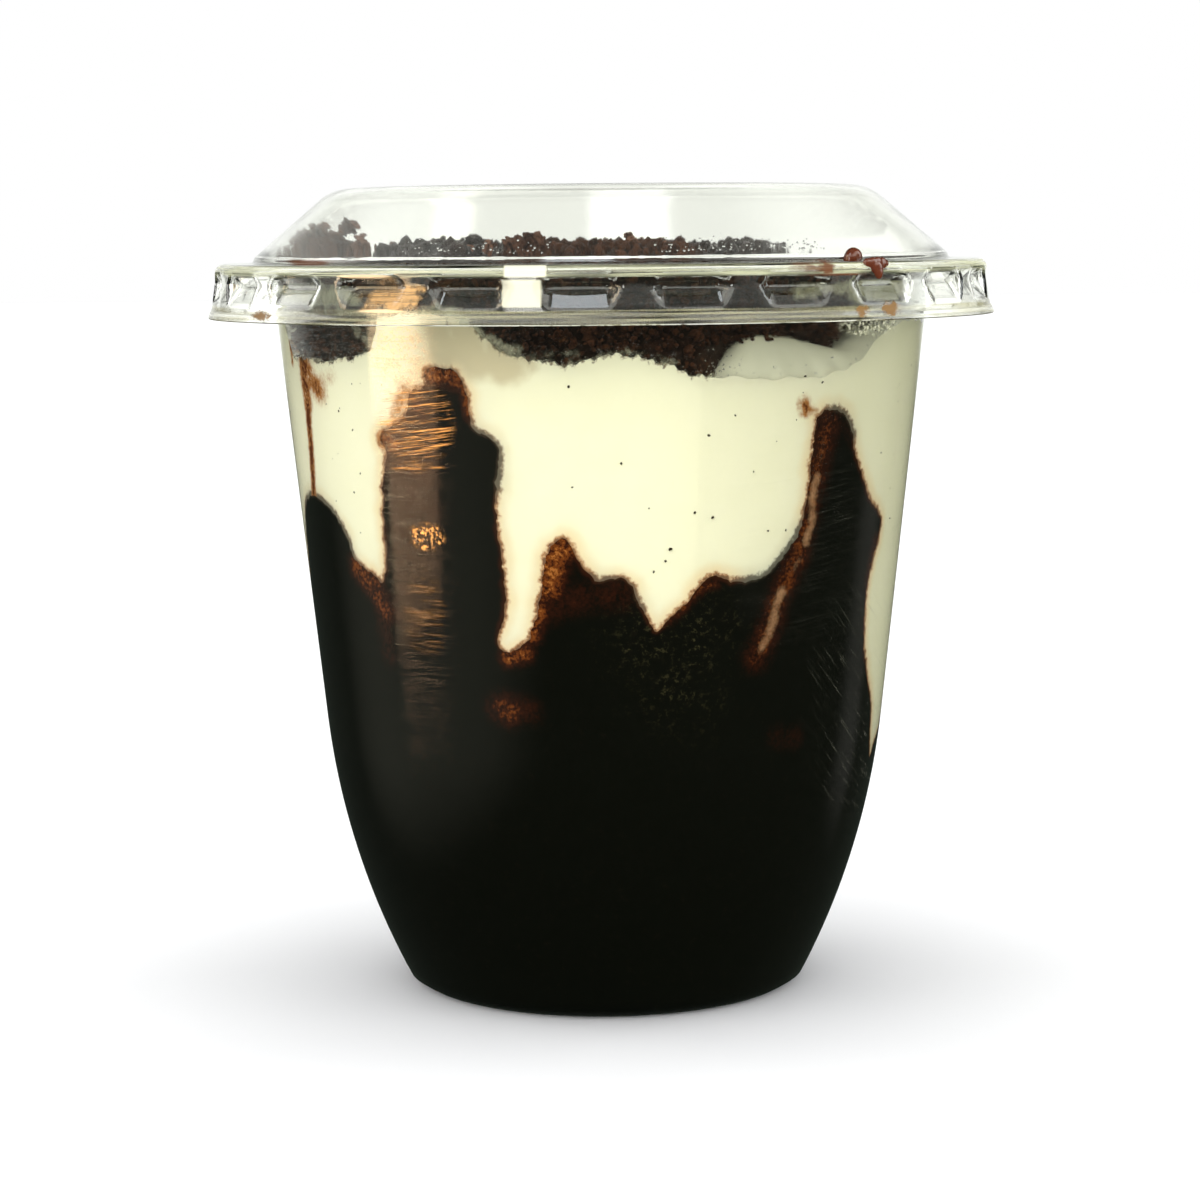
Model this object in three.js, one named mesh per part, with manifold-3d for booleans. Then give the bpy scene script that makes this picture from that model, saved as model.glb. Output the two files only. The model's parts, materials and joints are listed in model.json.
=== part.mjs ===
// A dessert tub: a clear thermoformed cup under a clear clip-on domed lid. The cup holds dark
// chocolate sauce that runs up the wall in tongues, pale vanilla ice cream over it, and a heap of
// chocolate cake crumbs up to the lid.
// Millimetres, +Z up. The origin is the centre of the base, on the surface that the tub stands on.
// An angle is measured round the tub from the front (-Y) towards +X.
import * as THREE from "three";
import { mergeVertices } from "three/addons/utils/BufferGeometryUtils.js";
import Module from "manifold-3d";

const wasm = await Module();
wasm.setup();

// ---- Driving dimensions ----
const SHEET = 0.5; // thickness of the clear plastic, cup and lid
const CLEAR = 0.3; // air left between neighbouring solids

// Cup
const FOOT_RECESS = 0.8; // the middle of the base stands this far off the table
const FOOT_INNER = 17.2;
const FOOT_OUTER = 23.6;
const BELLY_TOP = 34; // the rounded lower wall ends here, and the straight draft begins
const BELLY_ARC = 94; // radius of the rounded lower wall, seen from the side
const DRAFT = THREE.MathUtils.degToRad(6.1);
const MOUTH_Z = 89.1;
const MOUTH_RADIUS = 40.96; // outside of the wall just under the rim
const RIM_RADIUS = 46.35;
const RIM_TOP = 90.0;

// Lid
const LIP_RADIUS = 48.95; // the widest place of the tub
const LIP_Z = 84.1;
const SKIRT_RADIUS = 47.95;
const SKIRT_FLARE_Z = 86.3; // the skirt flares out below this
const SHOULDER_Z = 90.1; // the skirt turns in above this
const LEDGE_Z = 90.8; // flat ring between skirt and dome
const DOME_FOOT_RADIUS = 43.2;
const DOME_FOOT_Z = 91.4;
const DOME_SLOPE = THREE.MathUtils.degToRad(40.5);
const DOME_CROWN_ARC = 10; // radius of the turn between the sloping side and the flat top
const DOME_TOP = 99.93;
const DOME_FLAT_RADIUS = 29.6;

// Lugs pressed into the skirt, which catch under the cup's rim
const LUGS = 24;
const LUG_PHASE = THREE.MathUtils.degToRad(-2.8);
const LUG_DEPTH = 1.3;
const LUG_RIDGE_Z = 88.65;
const LUG_FACE_HALF = 3.6; // half width of the flat face
const LUG_HALF = 4.7; // half width with its sloping cheeks

// Sauce
const SAUCE_FLOOR = FOOT_RECESS + SHEET + CLEAR;
const SAUCE_LEVEL = 47; // between the tongues, at the wall
const SAUCE_CORE_LEVEL = 50; // in the middle of the tub
const SAUCE_TONGUE_DEPTH = 8; // how far a tongue reaches in from the wall

// Each tongue of sauce that climbs the wall: the angle of its middle in degrees, the height of its
// top, its half widths to the left and the right in degrees, and how square it is (2 is a bell,
// 16 is a post with upright sides).
const TONGUES = [
  { at: -64, top: 62.8, left: 14, right: 15, square: 2.6 },
  { at: -30.5, top: 70.8, left: 12.2, right: 12.4, square: 14 },
  { at: -28.6, top: 79.0, left: 6.6, right: 6.4, square: 7 },
  { at: -6.6, top: 59.6, left: 4.2, right: 4.6, square: 3 },
  { at: 1.5, top: 54.8, left: 8, right: 5.2, square: 6 },
  { at: 21, top: 55.0, left: 8, right: 10, square: 3.2 },
  { at: 33, top: 56.5, left: 7, right: 8, square: 4 },
  { at: 44.5, top: 73.6, left: 5.4, right: 6.4, square: 7 },
  { at: 52, top: 62.0, left: 9, right: 10.4, square: 9 },
  { at: 98, top: 50.0, left: 12, right: 13, square: 3 },
  { at: 121, top: 66.0, left: 8, right: 9, square: 6 },
  { at: 141, top: 57.0, left: 8, right: 9, square: 2.6 },
  { at: 163, top: 72.5, left: 7, right: 6, square: 9 },
  { at: 184, top: 54.0, left: 9, right: 9, square: 3 },
  { at: 207, top: 69.0, left: 10, right: 8, square: 8 },
  { at: 231, top: 58.0, left: 9, right: 9, square: 3 },
  { at: 255, top: 64.5, left: 6, right: 9, square: 5 },
];
// A wedge of cream that runs down between two tongues
const WEDGE_AT = 74;
const WEDGE_HALF = 8;
const WEDGE_DROP = 19;

// Cream
const CREAM_LEVEL = 79.6; // top of the cream at the wall
const CREAM_RISE_AT = -29; // it is pushed up over the tallest tongue
const CREAM_RISE_HALF = 8.5;
const CREAM_RISE = 6.5;
const CREAM_DIP_AT = 30;
const CREAM_DIP_HALF = 22;
const CREAM_DIP = 2.2;
const MOUND_AT = 46; // a scooped mound that stands free of the wall, at the front right
const MOUND_HALF = 24;
const MOUND_RISE = 3.6;
const MOUND_DISTANCE = 4.5; // from the wall to its crest

// Crumb heap
const HEAP_TOP = 92.4;
const HEAP_EDGE_TOP = 89.8; // at the wall
const HEAP_SHOULDER_RADIUS = 29;
const HEAP_ROOT = 76; // the heap is cut off by the cream well above this
const HEAP_RECESS_AT = 62; // the heap leaves the wall free at the right
const HEAP_RECESS_HALF = 38;
const HEAP_RECESS = 9;
const CRUMB_BUMP = 0.45;
const CHUNK_SIZES = [1.5, 2.9]; // smallest and largest radius of the cake chunks
const CHUNKS_ON_TOP = 22;
const CHUNKS_IN_PILE = 7; // taller pile of chunks at the left
const PILE_AT = -72;
const PILE_RADIUS = 34.2;

const CUP_STEPS = 60;
const FOOD_STEPS = 72;

// ---- Shared shapes ----
const TURN = Math.PI * 2;
const rad = THREE.MathUtils.degToRad;

// Smooth step from 0 at a to 1 at b.
const ease = (a, b, x) => THREE.MathUtils.smoothstep(x, a, b);

// Signed difference of two angles in degrees, from -180 to 180.
const apart = (a, b) => THREE.MathUtils.euclideanModulo(a - b + 180, 360) - 180;

// A bell of height 1 around the angle `at`, in degrees.
const bell = (angle, at, half) => Math.exp(-((apart(angle, at) / half) ** 2));

// A point on a circle of this radius, at an angle in radians from the front.
const around = (angle, radius, z) => [radius * Math.sin(angle), -radius * Math.cos(angle), z];

const evenAngles = (steps) => Array.from({ length: steps }, (_, i) => (i / steps) * TURN);

// Outside radius of the cup's wall at a height.
function wallRadius(z) {
  if (z >= BELLY_TOP) return MOUTH_RADIUS - (MOUTH_Z - z) * Math.tan(DRAFT);
  const start = wallRadius(BELLY_TOP);
  const sine = (BELLY_TOP - z) / BELLY_ARC + Math.sin(DRAFT);
  return start - BELLY_ARC * (Math.cos(DRAFT) - Math.sqrt(1 - sine * sine));
}

// Outside radius of the food at a height.
const foodRadius = (z) => wallRadius(z) - SHEET - CLEAR;

// Points of an arc in a [radius, z] profile. Angles are in radians from the +radius direction.
function arc(centreRadius, centreZ, size, from, to, pieces) {
  return Array.from({ length: pieces + 1 }, (_, i) => {
    const angle = from + ((to - from) * i) / pieces;
    return [centreRadius + size * Math.cos(angle), centreZ + size * Math.sin(angle)];
  });
}

// A closed skin from loops of points that go round the tub, from the loop next to the lower pole to
// the one next to the upper pole. Each loop is counter-clockwise seen from above. The four-sided
// faces up to the loop `crossed` are split along their other diagonal, so that a face can match the
// one that lies under it.
function skin(lowerPoleZ, loops, upperPoleZ, crossed = 0) {
  const count = loops[0].length;
  const position = [0, 0, lowerPoleZ, ...loops.flat(2), 0, 0, upperPoleZ];
  const last = position.length / 3 - 1;
  const vertex = (loop, step) => 1 + loop * count + (step % count);
  const index = [];
  for (let step = 0; step < count; step++) {
    index.push(0, vertex(0, step + 1), vertex(0, step));
    for (let loop = 0; loop + 1 < loops.length; loop++) {
      const [a, b] = [vertex(loop, step), vertex(loop, step + 1)];
      const [c, d] = [vertex(loop + 1, step + 1), vertex(loop + 1, step)];
      if (loop < crossed) index.push(a, b, d, b, c, d);
      else index.push(a, b, c, a, c, d);
    }
    index.push(vertex(loops.length - 1, step), vertex(loops.length - 1, step + 1), last);
  }
  const geometry = new THREE.BufferGeometry();
  geometry.setAttribute("position", new THREE.Float32BufferAttribute(position, 3));
  geometry.setIndex(index);
  geometry.computeVertexNormals();
  return geometry;
}

// A closed mesh as a solid that can be cut and joined.
function toSolid(geometry) {
  const bare = new THREE.BufferGeometry();
  bare.setAttribute("position", geometry.getAttribute("position"));
  if (geometry.index) bare.setIndex(geometry.index);
  const merged = mergeVertices(bare, 1e-4);
  return new wasm.Manifold(
    new wasm.Mesh({
      numProp: 3,
      vertProperties: new Float32Array(merged.attributes.position.array),
      triVerts: new Uint32Array(merged.index.array),
    }),
  );
}

function toGeometry(solid) {
  const mesh = solid.getMesh();
  const geometry = new THREE.BufferGeometry();
  geometry.setAttribute("position", new THREE.BufferAttribute(new Float32Array(mesh.vertProperties), 3));
  geometry.setIndex(new THREE.BufferAttribute(new Uint32Array(mesh.triVerts), 1));
  geometry.computeVertexNormals();
  return geometry;
}

// Seeded random numbers from 0 to 1.
function randomFrom(seed) {
  let state = seed;
  return () => {
    state = (state + 0x6d2b79f5) | 0;
    let t = Math.imul(state ^ (state >>> 15), 1 | state);
    t = (t + Math.imul(t ^ (t >>> 7), 61 | t)) ^ t;
    return ((t ^ (t >>> 14)) >>> 0) / 4294967296;
  };
}

// ---- Cup ----
function cupGeometry() {
  const bellyRows = [7, 14, 21, 28, BELLY_TOP];
  const inside = (z) => [wallRadius(z) - SHEET, z];
  const rimUnder = RIM_TOP - SHEET;
  const profile = [
    [FOOT_INNER - 1, FOOT_RECESS],
    [FOOT_INNER, 0],
    [FOOT_OUTER, 0],
    [wallRadius(0.9), 0.9],
    ...bellyRows.map((z) => [wallRadius(z), z]),
    [MOUTH_RADIUS, MOUTH_Z],
    [MOUTH_RADIUS + 0.5, rimUnder],
    [RIM_RADIUS, rimUnder],
    [RIM_RADIUS, RIM_TOP],
    [MOUTH_RADIUS + 0.4, RIM_TOP],
    inside(MOUTH_Z),
    ...bellyRows.toReversed().map(inside),
    [wallRadius(1.2) - SHEET, 1.2],
    [FOOT_OUTER - 0.3, SHEET],
    [FOOT_INNER + 0.3, SHEET],
    [FOOT_INNER - 0.7, FOOT_RECESS + SHEET],
  ];
  const angles = evenAngles(CUP_STEPS);
  const loops = profile.map(([radius, z]) => angles.map((angle) => around(angle, radius, z)));
  return skin(FOOT_RECESS, loops, FOOT_RECESS + SHEET);
}

// ---- Lid ----
// How far a lug is pressed in at a height, from 0 at its ends to 1 at its ridge.
function lugShare(z) {
  if (z >= SHOULDER_Z || z <= SKIRT_FLARE_Z) return 0;
  return z > LUG_RIDGE_Z
    ? (SHOULDER_Z - z) / (SHOULDER_Z - LUG_RIDGE_Z)
    : (z - SKIRT_FLARE_Z) / (LUG_RIDGE_Z - SKIRT_FLARE_Z);
}

function lidGeometry() {
  // Round the lid, each lug has a cheek edge, its flat face, and a cheek edge again.
  const section = [[-LUG_HALF, 0], [-LUG_FACE_HALF, 1], [LUG_FACE_HALF, 1], [LUG_HALF, 0]];
  const angles = [];
  for (let lug = 0; lug < LUGS; lug++) {
    const middle = LUG_PHASE + (lug / LUGS) * TURN;
    for (const [offset, depth] of section) {
      angles.push({ angle: middle + offset / SKIRT_RADIUS, depth });
    }
  }
  const crown = (grow) => {
    const size = DOME_CROWN_ARC + grow;
    return arc(DOME_FLAT_RADIUS, DOME_TOP - DOME_CROWN_ARC, size, TURN / 4, TURN / 4 - DOME_SLOPE, 3);
  };
  const inner = [
    ...crown(-SHEET),
    [DOME_FOOT_RADIUS - 0.5, DOME_FOOT_Z - 0.25],
    [DOME_FOOT_RADIUS - 0.1, LEDGE_Z - SHEET + 0.05],
    [SKIRT_RADIUS - 1.1, LEDGE_Z - SHEET],
    [SKIRT_RADIUS - SHEET, SHOULDER_Z - 0.2],
    [SKIRT_RADIUS - SHEET, LUG_RIDGE_Z],
    [SKIRT_RADIUS - SHEET, SKIRT_FLARE_Z],
    [LIP_RADIUS - SHEET, LIP_Z],
  ];
  const outer = [
    [LIP_RADIUS, LIP_Z],
    [SKIRT_RADIUS, SKIRT_FLARE_Z],
    [SKIRT_RADIUS, LUG_RIDGE_Z],
    [SKIRT_RADIUS, SHOULDER_Z],
    [SKIRT_RADIUS - 0.8, LEDGE_Z],
    [DOME_FOOT_RADIUS + 0.3, LEDGE_Z + 0.05],
    [DOME_FOOT_RADIUS, DOME_FOOT_Z],
    ...crown(0).toReversed(),
  ];
  const loops = [...inner, ...outer].map(([radius, z]) =>
    angles.map(({ angle, depth }) => around(angle, radius - LUG_DEPTH * depth * lugShare(z), z)),
  );
  return skin(DOME_TOP - SHEET, loops, DOME_TOP);
}

// ---- Sauce ----
// Height of the sauce at the wall, at an angle in degrees.
function sauceEdge(angle) {
  const level = SAUCE_LEVEL - WEDGE_DROP * bell(angle, WEDGE_AT, WEDGE_HALF);
  const heights = TONGUES.map(({ at, top, left, right, square }) => {
    const away = apart(angle, at);
    const share = Math.abs(away) / (away < 0 ? left : right);
    return level + (top - level) * Math.exp(-Math.LN2 * share ** square);
  });
  return Math.max(...heights);
}

// Height of the sauce's top, at an angle in degrees and a distance in from the wall.
function sauceTop(angle, distance) {
  const edge = sauceEdge(angle);
  return edge + (SAUCE_CORE_LEVEL - edge) * ease(0.8, SAUCE_TONGUE_DEPTH, distance);
}

const SAUCE_RINGS = [0, 1.5, 4, 8, 18];

// One loop of the face where sauce and cream meet.
function sauceLoop(distance, lift) {
  return evenAngles(FOOD_STEPS).map((angle) => {
    const degrees = THREE.MathUtils.radToDeg(angle);
    const z = sauceTop(degrees, distance) + lift;
    return around(angle, foodRadius(sauceEdge(degrees)) - distance, z);
  });
}

function sauceGeometry() {
  const wallRows = 8;
  const loops = [];
  for (let row = 0; row < wallRows; row++) {
    loops.push(
      evenAngles(FOOD_STEPS).map((angle) => {
        const edge = sauceEdge(THREE.MathUtils.radToDeg(angle));
        const z = SAUCE_FLOOR + ((edge - SAUCE_FLOOR) * row) / wallRows;
        return around(angle, foodRadius(z), z);
      }),
    );
  }
  loops.push(...SAUCE_RINGS.map((distance) => sauceLoop(distance, 0)));
  return skin(SAUCE_FLOOR, loops, SAUCE_CORE_LEVEL);
}

// ---- Cream ----
// Height of the cream's top, at an angle in degrees and a distance in from the wall.
function creamTop(angle, distance) {
  const rise = CREAM_RISE * bell(angle, CREAM_RISE_AT, CREAM_RISE_HALF);
  const edge = CREAM_LEVEL + rise - CREAM_DIP * bell(angle, CREAM_DIP_AT, CREAM_DIP_HALF);
  const climb = ease(0, MOUND_DISTANCE, distance);
  const crest = climb * (1 - ease(MOUND_DISTANCE, 3 * MOUND_DISTANCE, distance));
  const mound = MOUND_RISE * crest * bell(angle, MOUND_AT, MOUND_HALF);
  const settled = ease(2, 22, distance);
  return edge + (CREAM_LEVEL - edge) * settled + mound;
}

const CREAM_RINGS = [0, 2, MOUND_DISTANCE, 10, 22];

function creamTopLoop(distance, lift) {
  return evenAngles(FOOD_STEPS).map((angle) => {
    const degrees = THREE.MathUtils.radToDeg(angle);
    const radius = foodRadius(creamTop(degrees, 0)) - distance;
    return around(angle, radius, creamTop(degrees, distance) + lift);
  });
}

function creamGeometry() {
  const loops = SAUCE_RINGS.toReversed().map((distance) => sauceLoop(distance, CLEAR));
  const middle = evenAngles(FOOD_STEPS).map((angle) => {
    const degrees = THREE.MathUtils.radToDeg(angle);
    const z = (sauceEdge(degrees) + CLEAR + creamTop(degrees, 0)) / 2;
    return around(angle, foodRadius(z), z);
  });
  loops.push(middle, ...CREAM_RINGS.map((distance) => creamTopLoop(distance, 0)));
  return skin(SAUCE_CORE_LEVEL + CLEAR, loops, CREAM_LEVEL, SAUCE_RINGS.length - 1);
}

// ---- Crumb heap ----
// Distance from the wall to the edge of the heap, at an angle in degrees.
const heapRecess = (angle) => HEAP_RECESS * bell(angle, HEAP_RECESS_AT, HEAP_RECESS_HALF) ** 1.5;

// Small uneven bumps, the size of coarse crumbs.
function crumbBump(x, y) {
  const fine = Math.sin(1.9 * x + 0.7 * y) + Math.sin(2.3 * y - 0.9 * x + 1.3);
  return CRUMB_BUMP * 0.6 * (fine + Math.sin(0.61 * x - 0.47 * y));
}

function heapTop(angle, radius) {
  const [x, y] = around(angle, radius, 0);
  const share = ease(HEAP_SHOULDER_RADIUS - 4, 40, radius);
  return HEAP_TOP + (HEAP_EDGE_TOP - HEAP_TOP) * share + crumbBump(x, y);
}

// Everything up to just above the cream, which the heap is cut off by.
function belowHeap() {
  const root = HEAP_ROOT - 6;
  const floor = evenAngles(FOOD_STEPS).map((angle) => around(angle, foodRadius(root) + 3, root));
  const lifted = CREAM_RINGS.map((distance) => creamTopLoop(distance, CLEAR));
  const edge = evenAngles(FOOD_STEPS).map((angle) => {
    const z = creamTop(THREE.MathUtils.radToDeg(angle), 0) + CLEAR;
    return around(angle, foodRadius(z) + 3, z);
  });
  return toSolid(skin(root, [floor, edge, ...lifted], CREAM_LEVEL + CLEAR));
}

// A rough chunk of cake: a squashed twenty-sided stone with its corners pushed in and out.
function chunk(random, size, x, y, z) {
  const geometry = new THREE.IcosahedronGeometry(size, 0);
  geometry.deleteAttribute("normal");
  geometry.deleteAttribute("uv");
  const stone = mergeVertices(geometry, 1e-4);
  const corners = stone.getAttribute("position");
  for (let i = 0; i < corners.count; i++) {
    const push = 0.75 + 0.45 * random();
    const [x0, y0, z0] = [corners.getX(i), corners.getY(i), corners.getZ(i)];
    corners.setXYZ(i, x0 * push, y0 * push, z0 * push * 0.8);
  }
  stone.rotateZ(random() * TURN);
  stone.rotateX((random() - 0.5) * 1.2);
  stone.translate(x, y, z);
  return toSolid(stone);
}

function heapGeometry() {
  const shares = [1, 0.92, 0.76, 0.58, 0.4, 0.2];
  const angles = evenAngles(FOOD_STEPS);
  const outer = (angle, z) => foodRadius(z) - heapRecess(THREE.MathUtils.radToDeg(angle));
  const loops = [
    angles.map((angle) => around(angle, outer(angle, HEAP_ROOT), HEAP_ROOT)),
    angles.map((angle) => around(angle, outer(angle, MOUTH_Z), MOUTH_Z)),
    ...shares.map((share) =>
      angles.map((angle) => {
        const radius = (outer(angle, MOUTH_Z) - 0.2) * share;
        return around(angle, radius, heapTop(angle, radius));
      }),
    ),
  ];
  let heap = toSolid(skin(HEAP_ROOT, loops, HEAP_TOP)).subtract(belowHeap());

  const random = randomFrom(7);
  const [smallest, largest] = CHUNK_SIZES;
  const place = (angle, radius, size, sink) => {
    const [x, y] = around(angle, radius, 0);
    heap = heap.add(chunk(random, size, x, y, heapTop(angle, radius) + size * sink));
  };
  // The golden angle spreads the chunks over the heap with none in a row.
  const golden = Math.PI * (3 - Math.sqrt(5));
  for (let i = 0; i < CHUNKS_ON_TOP; i++) {
    const radius = 31 * Math.sqrt((i + 0.5) / CHUNKS_ON_TOP);
    const size = smallest + (largest - smallest) * random() ** 2;
    place(i * golden, radius * (1 - 0.2 * random()), Math.min(size, 2.0), -0.45);
  }
  for (let i = 0; i < CHUNKS_IN_PILE; i++) {
    const angle = rad(PILE_AT) + (i / (CHUNKS_IN_PILE - 1) - 0.5) * 0.62;
    place(angle, PILE_RADIUS + 1.2 * (random() - 0.5), largest - 0.9 * random(), 0.05);
  }
  return toGeometry(heap);
}

// ---- The tub ----
function material(color, roughness, opacity = 1) {
  const transparent = opacity < 1;
  return new THREE.MeshStandardMaterial({ color, roughness, metalness: 0, opacity, transparent });
}

function addPart(group, name, geometry, finish) {
  const mesh = new THREE.Mesh(geometry, finish);
  mesh.name = name;
  group.add(mesh);
}

const tub = new THREE.Group();
tub.name = "ice_cream_tub";
addPart(tub, "cup", cupGeometry(), material("#eef2ec", 0.08, 0.25));
addPart(tub, "lid", lidGeometry(), material("#eef2ec", 0.08, 0.25));
addPart(tub, "chocolate_sauce", sauceGeometry(), material("#140b06", 0.35));
addPart(tub, "vanilla_cream", creamGeometry(), material("#f4eccb", 0.5));
addPart(tub, "cake_crumbs", heapGeometry(), material("#3b2216", 0.9));

export default tub;
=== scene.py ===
# %% [markdown]
# # A clear dessert tub, shut and full
# A single serving in a clear cup with a clear clip-on lid: dark chocolate sauce at the bottom that runs
# up the wall in tongues, pale vanilla ice cream over it, and chocolate cake crumbs up to the lid. The
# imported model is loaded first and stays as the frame. Every piece below is a finer piece that stands for
# one of its solids.

import json
import math

import bmesh
import bpy
import numpy as np
from mathutils import Matrix, Vector, kdtree

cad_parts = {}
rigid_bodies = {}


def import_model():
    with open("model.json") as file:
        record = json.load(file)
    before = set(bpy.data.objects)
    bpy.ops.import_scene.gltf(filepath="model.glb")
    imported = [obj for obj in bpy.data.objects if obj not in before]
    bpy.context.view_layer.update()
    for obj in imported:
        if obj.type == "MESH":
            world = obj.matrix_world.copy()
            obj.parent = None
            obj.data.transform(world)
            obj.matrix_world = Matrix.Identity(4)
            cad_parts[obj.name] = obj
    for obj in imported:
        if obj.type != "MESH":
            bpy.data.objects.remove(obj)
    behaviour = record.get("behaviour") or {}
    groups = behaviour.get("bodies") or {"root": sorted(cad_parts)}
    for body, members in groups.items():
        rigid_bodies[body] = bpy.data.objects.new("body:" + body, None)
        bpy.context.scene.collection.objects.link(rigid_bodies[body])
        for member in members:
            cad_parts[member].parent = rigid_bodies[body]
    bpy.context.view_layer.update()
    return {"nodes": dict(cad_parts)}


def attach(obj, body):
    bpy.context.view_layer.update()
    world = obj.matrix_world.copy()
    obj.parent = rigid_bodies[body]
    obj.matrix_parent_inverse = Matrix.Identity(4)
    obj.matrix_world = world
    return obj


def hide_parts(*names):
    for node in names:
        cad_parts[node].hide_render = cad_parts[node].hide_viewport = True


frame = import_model()
print("CAD nodes:", sorted(frame["nodes"]))

# %% [markdown]
# ## The cup's sizes
# Everything here is in millimetres, because that is how such a cup is drawn. An angle goes round the tub
# from the front (-Y) towards +X. The wall is a straight taper above and a wide arc below, so one small
# function gives its radius at each height, and the cup, the food and the lid are all made from it.

# %% Sizes
MM = 0.001
SHEET = 0.5
BELLY_TOP, BELLY_ARC, DRAFT = 34.0, 94.0, math.radians(6.1)
MOUTH_Z, MOUTH_RADIUS = 89.1, 40.96
RIM_RADIUS, RIM_TOP = 46.35, 90.0
FOOT_RECESS, FOOT_INNER, FOOT_OUTER = 0.8, 17.2, 23.6
LIP_RADIUS, LIP_Z, SKIRT_RADIUS = 48.93, 84.1, 47.95
LEDGE_Z, DOME_FOOT_RADIUS, DOME_FOOT_Z = 90.8, 43.2, 91.4
DOME_SLOPE, DOME_CROWN_ARC = math.radians(40.5), 6.0
DOME_TOP, DOME_FLAT_RADIUS = 99.91, 31.08
LUGS, LUG_PHASE, LUG_DEPTH, LUG_FACE_HALF = 24, math.radians(-2.8), 1.25, 3.35


def wall_radius(z):
    """Outside radius of the cup's wall at a height, for a number or an array."""
    z = np.asarray(z, float)
    taper = MOUTH_RADIUS - (MOUTH_Z - z) * math.tan(DRAFT)
    start = MOUTH_RADIUS - (MOUTH_Z - BELLY_TOP) * math.tan(DRAFT)
    sine = np.clip((BELLY_TOP - np.minimum(z, BELLY_TOP)) / BELLY_ARC + math.sin(DRAFT), 0, 1)
    belly = start - BELLY_ARC * (math.cos(DRAFT) - np.sqrt(1 - sine * sine))
    return np.where(z >= BELLY_TOP, taper, belly)


print("wall radius at the base, the belly and the mouth:",
      [round(float(wall_radius(z)), 2) for z in (1, 34, 89)])

# %% [markdown]
# ## Helpers for modelling
# An operator acts on all that is selected, so each step starts by deselecting everything. Points are read
# and written in one go as an array, which is quick enough for a mesh of a hundred thousand points.


# %% Selecting and moving points
def only(obj):
    """Selects this object alone and makes it active."""
    if bpy.context.object and bpy.context.object.mode != "OBJECT":
        bpy.ops.object.mode_set(mode="OBJECT")
    for other in bpy.context.view_layer.objects:
        other.select_set(False)
    obj.select_set(True)
    bpy.context.view_layer.objects.active = obj
    return obj


def start_piece(name):
    """Names the primitive that was just added."""
    obj = bpy.context.object
    obj.name = obj.data.name = name
    return only(obj)


def points_of(obj):
    """The piece's points as an array of rows, in millimetres."""
    co = np.empty(len(obj.data.vertices) * 3, np.float32)
    obj.data.vertices.foreach_get("co", co)
    return co.reshape(-1, 3).astype(float) / MM


def move_points(obj, co):
    """Puts the piece's points at these places, in millimetres."""
    obj.data.vertices.foreach_set("co", (co * MM).astype(np.float32).ravel())
    obj.data.update()


def clean(obj, distance=1e-6):
    """Merges doubles and turns all faces outwards."""
    only(obj)
    bpy.ops.object.mode_set(mode="EDIT")
    bpy.ops.mesh.select_all(action="SELECT")
    bpy.ops.mesh.remove_doubles(threshold=distance)
    bpy.ops.mesh.normals_make_consistent(inside=False)
    bpy.ops.object.mode_set(mode="OBJECT")
    return obj


print("helpers ready: only, start_piece, points_of, move_points, clean")

# %% [markdown]
# ## Turning a section
# Cup, lid and food are round, so each is a section spun round the axis. The section is a ring of points,
# moved to its place. Where it starts and ends on the axis, the edge that would close it there is deleted
# first.


# %% Turning and finishing
def spun(name, profile, steps, closed=False):
    """A piece turned on the axis from a section of (radius, z) points, open at the axis or closed."""
    bpy.ops.mesh.primitive_circle_add(vertices=len(profile), radius=0.01, fill_type="NOTHING")
    obj = start_piece(name)
    move_points(obj, np.array([(0.0, -r, z) for r, z in profile]))
    if not closed:
        bm = bmesh.new()
        bm.from_mesh(obj.data)
        bm.verts.ensure_lookup_table()
        ends = {bm.verts[0], bm.verts[len(profile) - 1]}
        bmesh.ops.delete(bm, geom=[e for e in bm.edges if set(e.verts) == ends], context="EDGES_FACES")
        bm.to_mesh(obj.data)
        bm.free()
    bpy.ops.object.mode_set(mode="EDIT")
    bpy.ops.mesh.select_all(action="SELECT")
    bpy.ops.mesh.spin(steps=steps, angle=2 * math.pi, center=(0, 0, 0), axis=(0, 0, 1))
    bpy.ops.object.mode_set(mode="OBJECT")
    return clean(obj, 2e-6)


def smooth(obj, degrees=35):
    """Shades the piece smooth, except at edges sharper than this."""
    only(obj)
    bpy.ops.object.shade_smooth_by_angle(angle=math.radians(degrees))
    return obj


def apply_modifier(obj, kind, **settings):
    """Adds a modifier, sets it and applies it."""
    only(obj)
    modifier = obj.modifiers.new(kind.lower(), kind)
    for key, value in settings.items():
        setattr(modifier, key, value)
    bpy.ops.object.modifier_apply(modifier=modifier.name)
    return obj


print("helpers ready: spun, smooth, apply_modifier")

# %% [markdown]
# ## Drawing a section
# A section is made of arcs and straight runs, and what is uneven round the tub is drawn with soft steps
# between two angles or two radii. Angles round the tub are in degrees from the front.


# %% Lines, arcs and soft steps
def arc(centre_r, centre_z, size, start, end, pieces):
    """Points of an arc in a (radius, z) profile, with angles in radians from the +radius direction."""
    angles = np.linspace(start, end, pieces + 1)
    return [(centre_r + size * math.cos(a), centre_z + size * math.sin(a)) for a in angles]


def straight(a, b, pieces):
    """Points from a to b, without b."""
    return [tuple(np.array(a) + (np.array(b) - np.array(a)) * i / pieces) for i in range(pieces)]


def ease(a, b, x):
    """0 below a, 1 above b, and smooth between."""
    t = np.clip((np.asarray(x, float) - a) / (b - a), 0, 1)
    return t * t * (3 - 2 * t)


def between(a, b, c, d, x):
    """Rises from a to b and falls again from c to d."""
    return ease(a, b, x) * (1 - ease(c, d, x))


def apart(a, b):
    """Signed difference of two angles in degrees."""
    return (np.asarray(a, float) - b + 180) % 360 - 180


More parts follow.
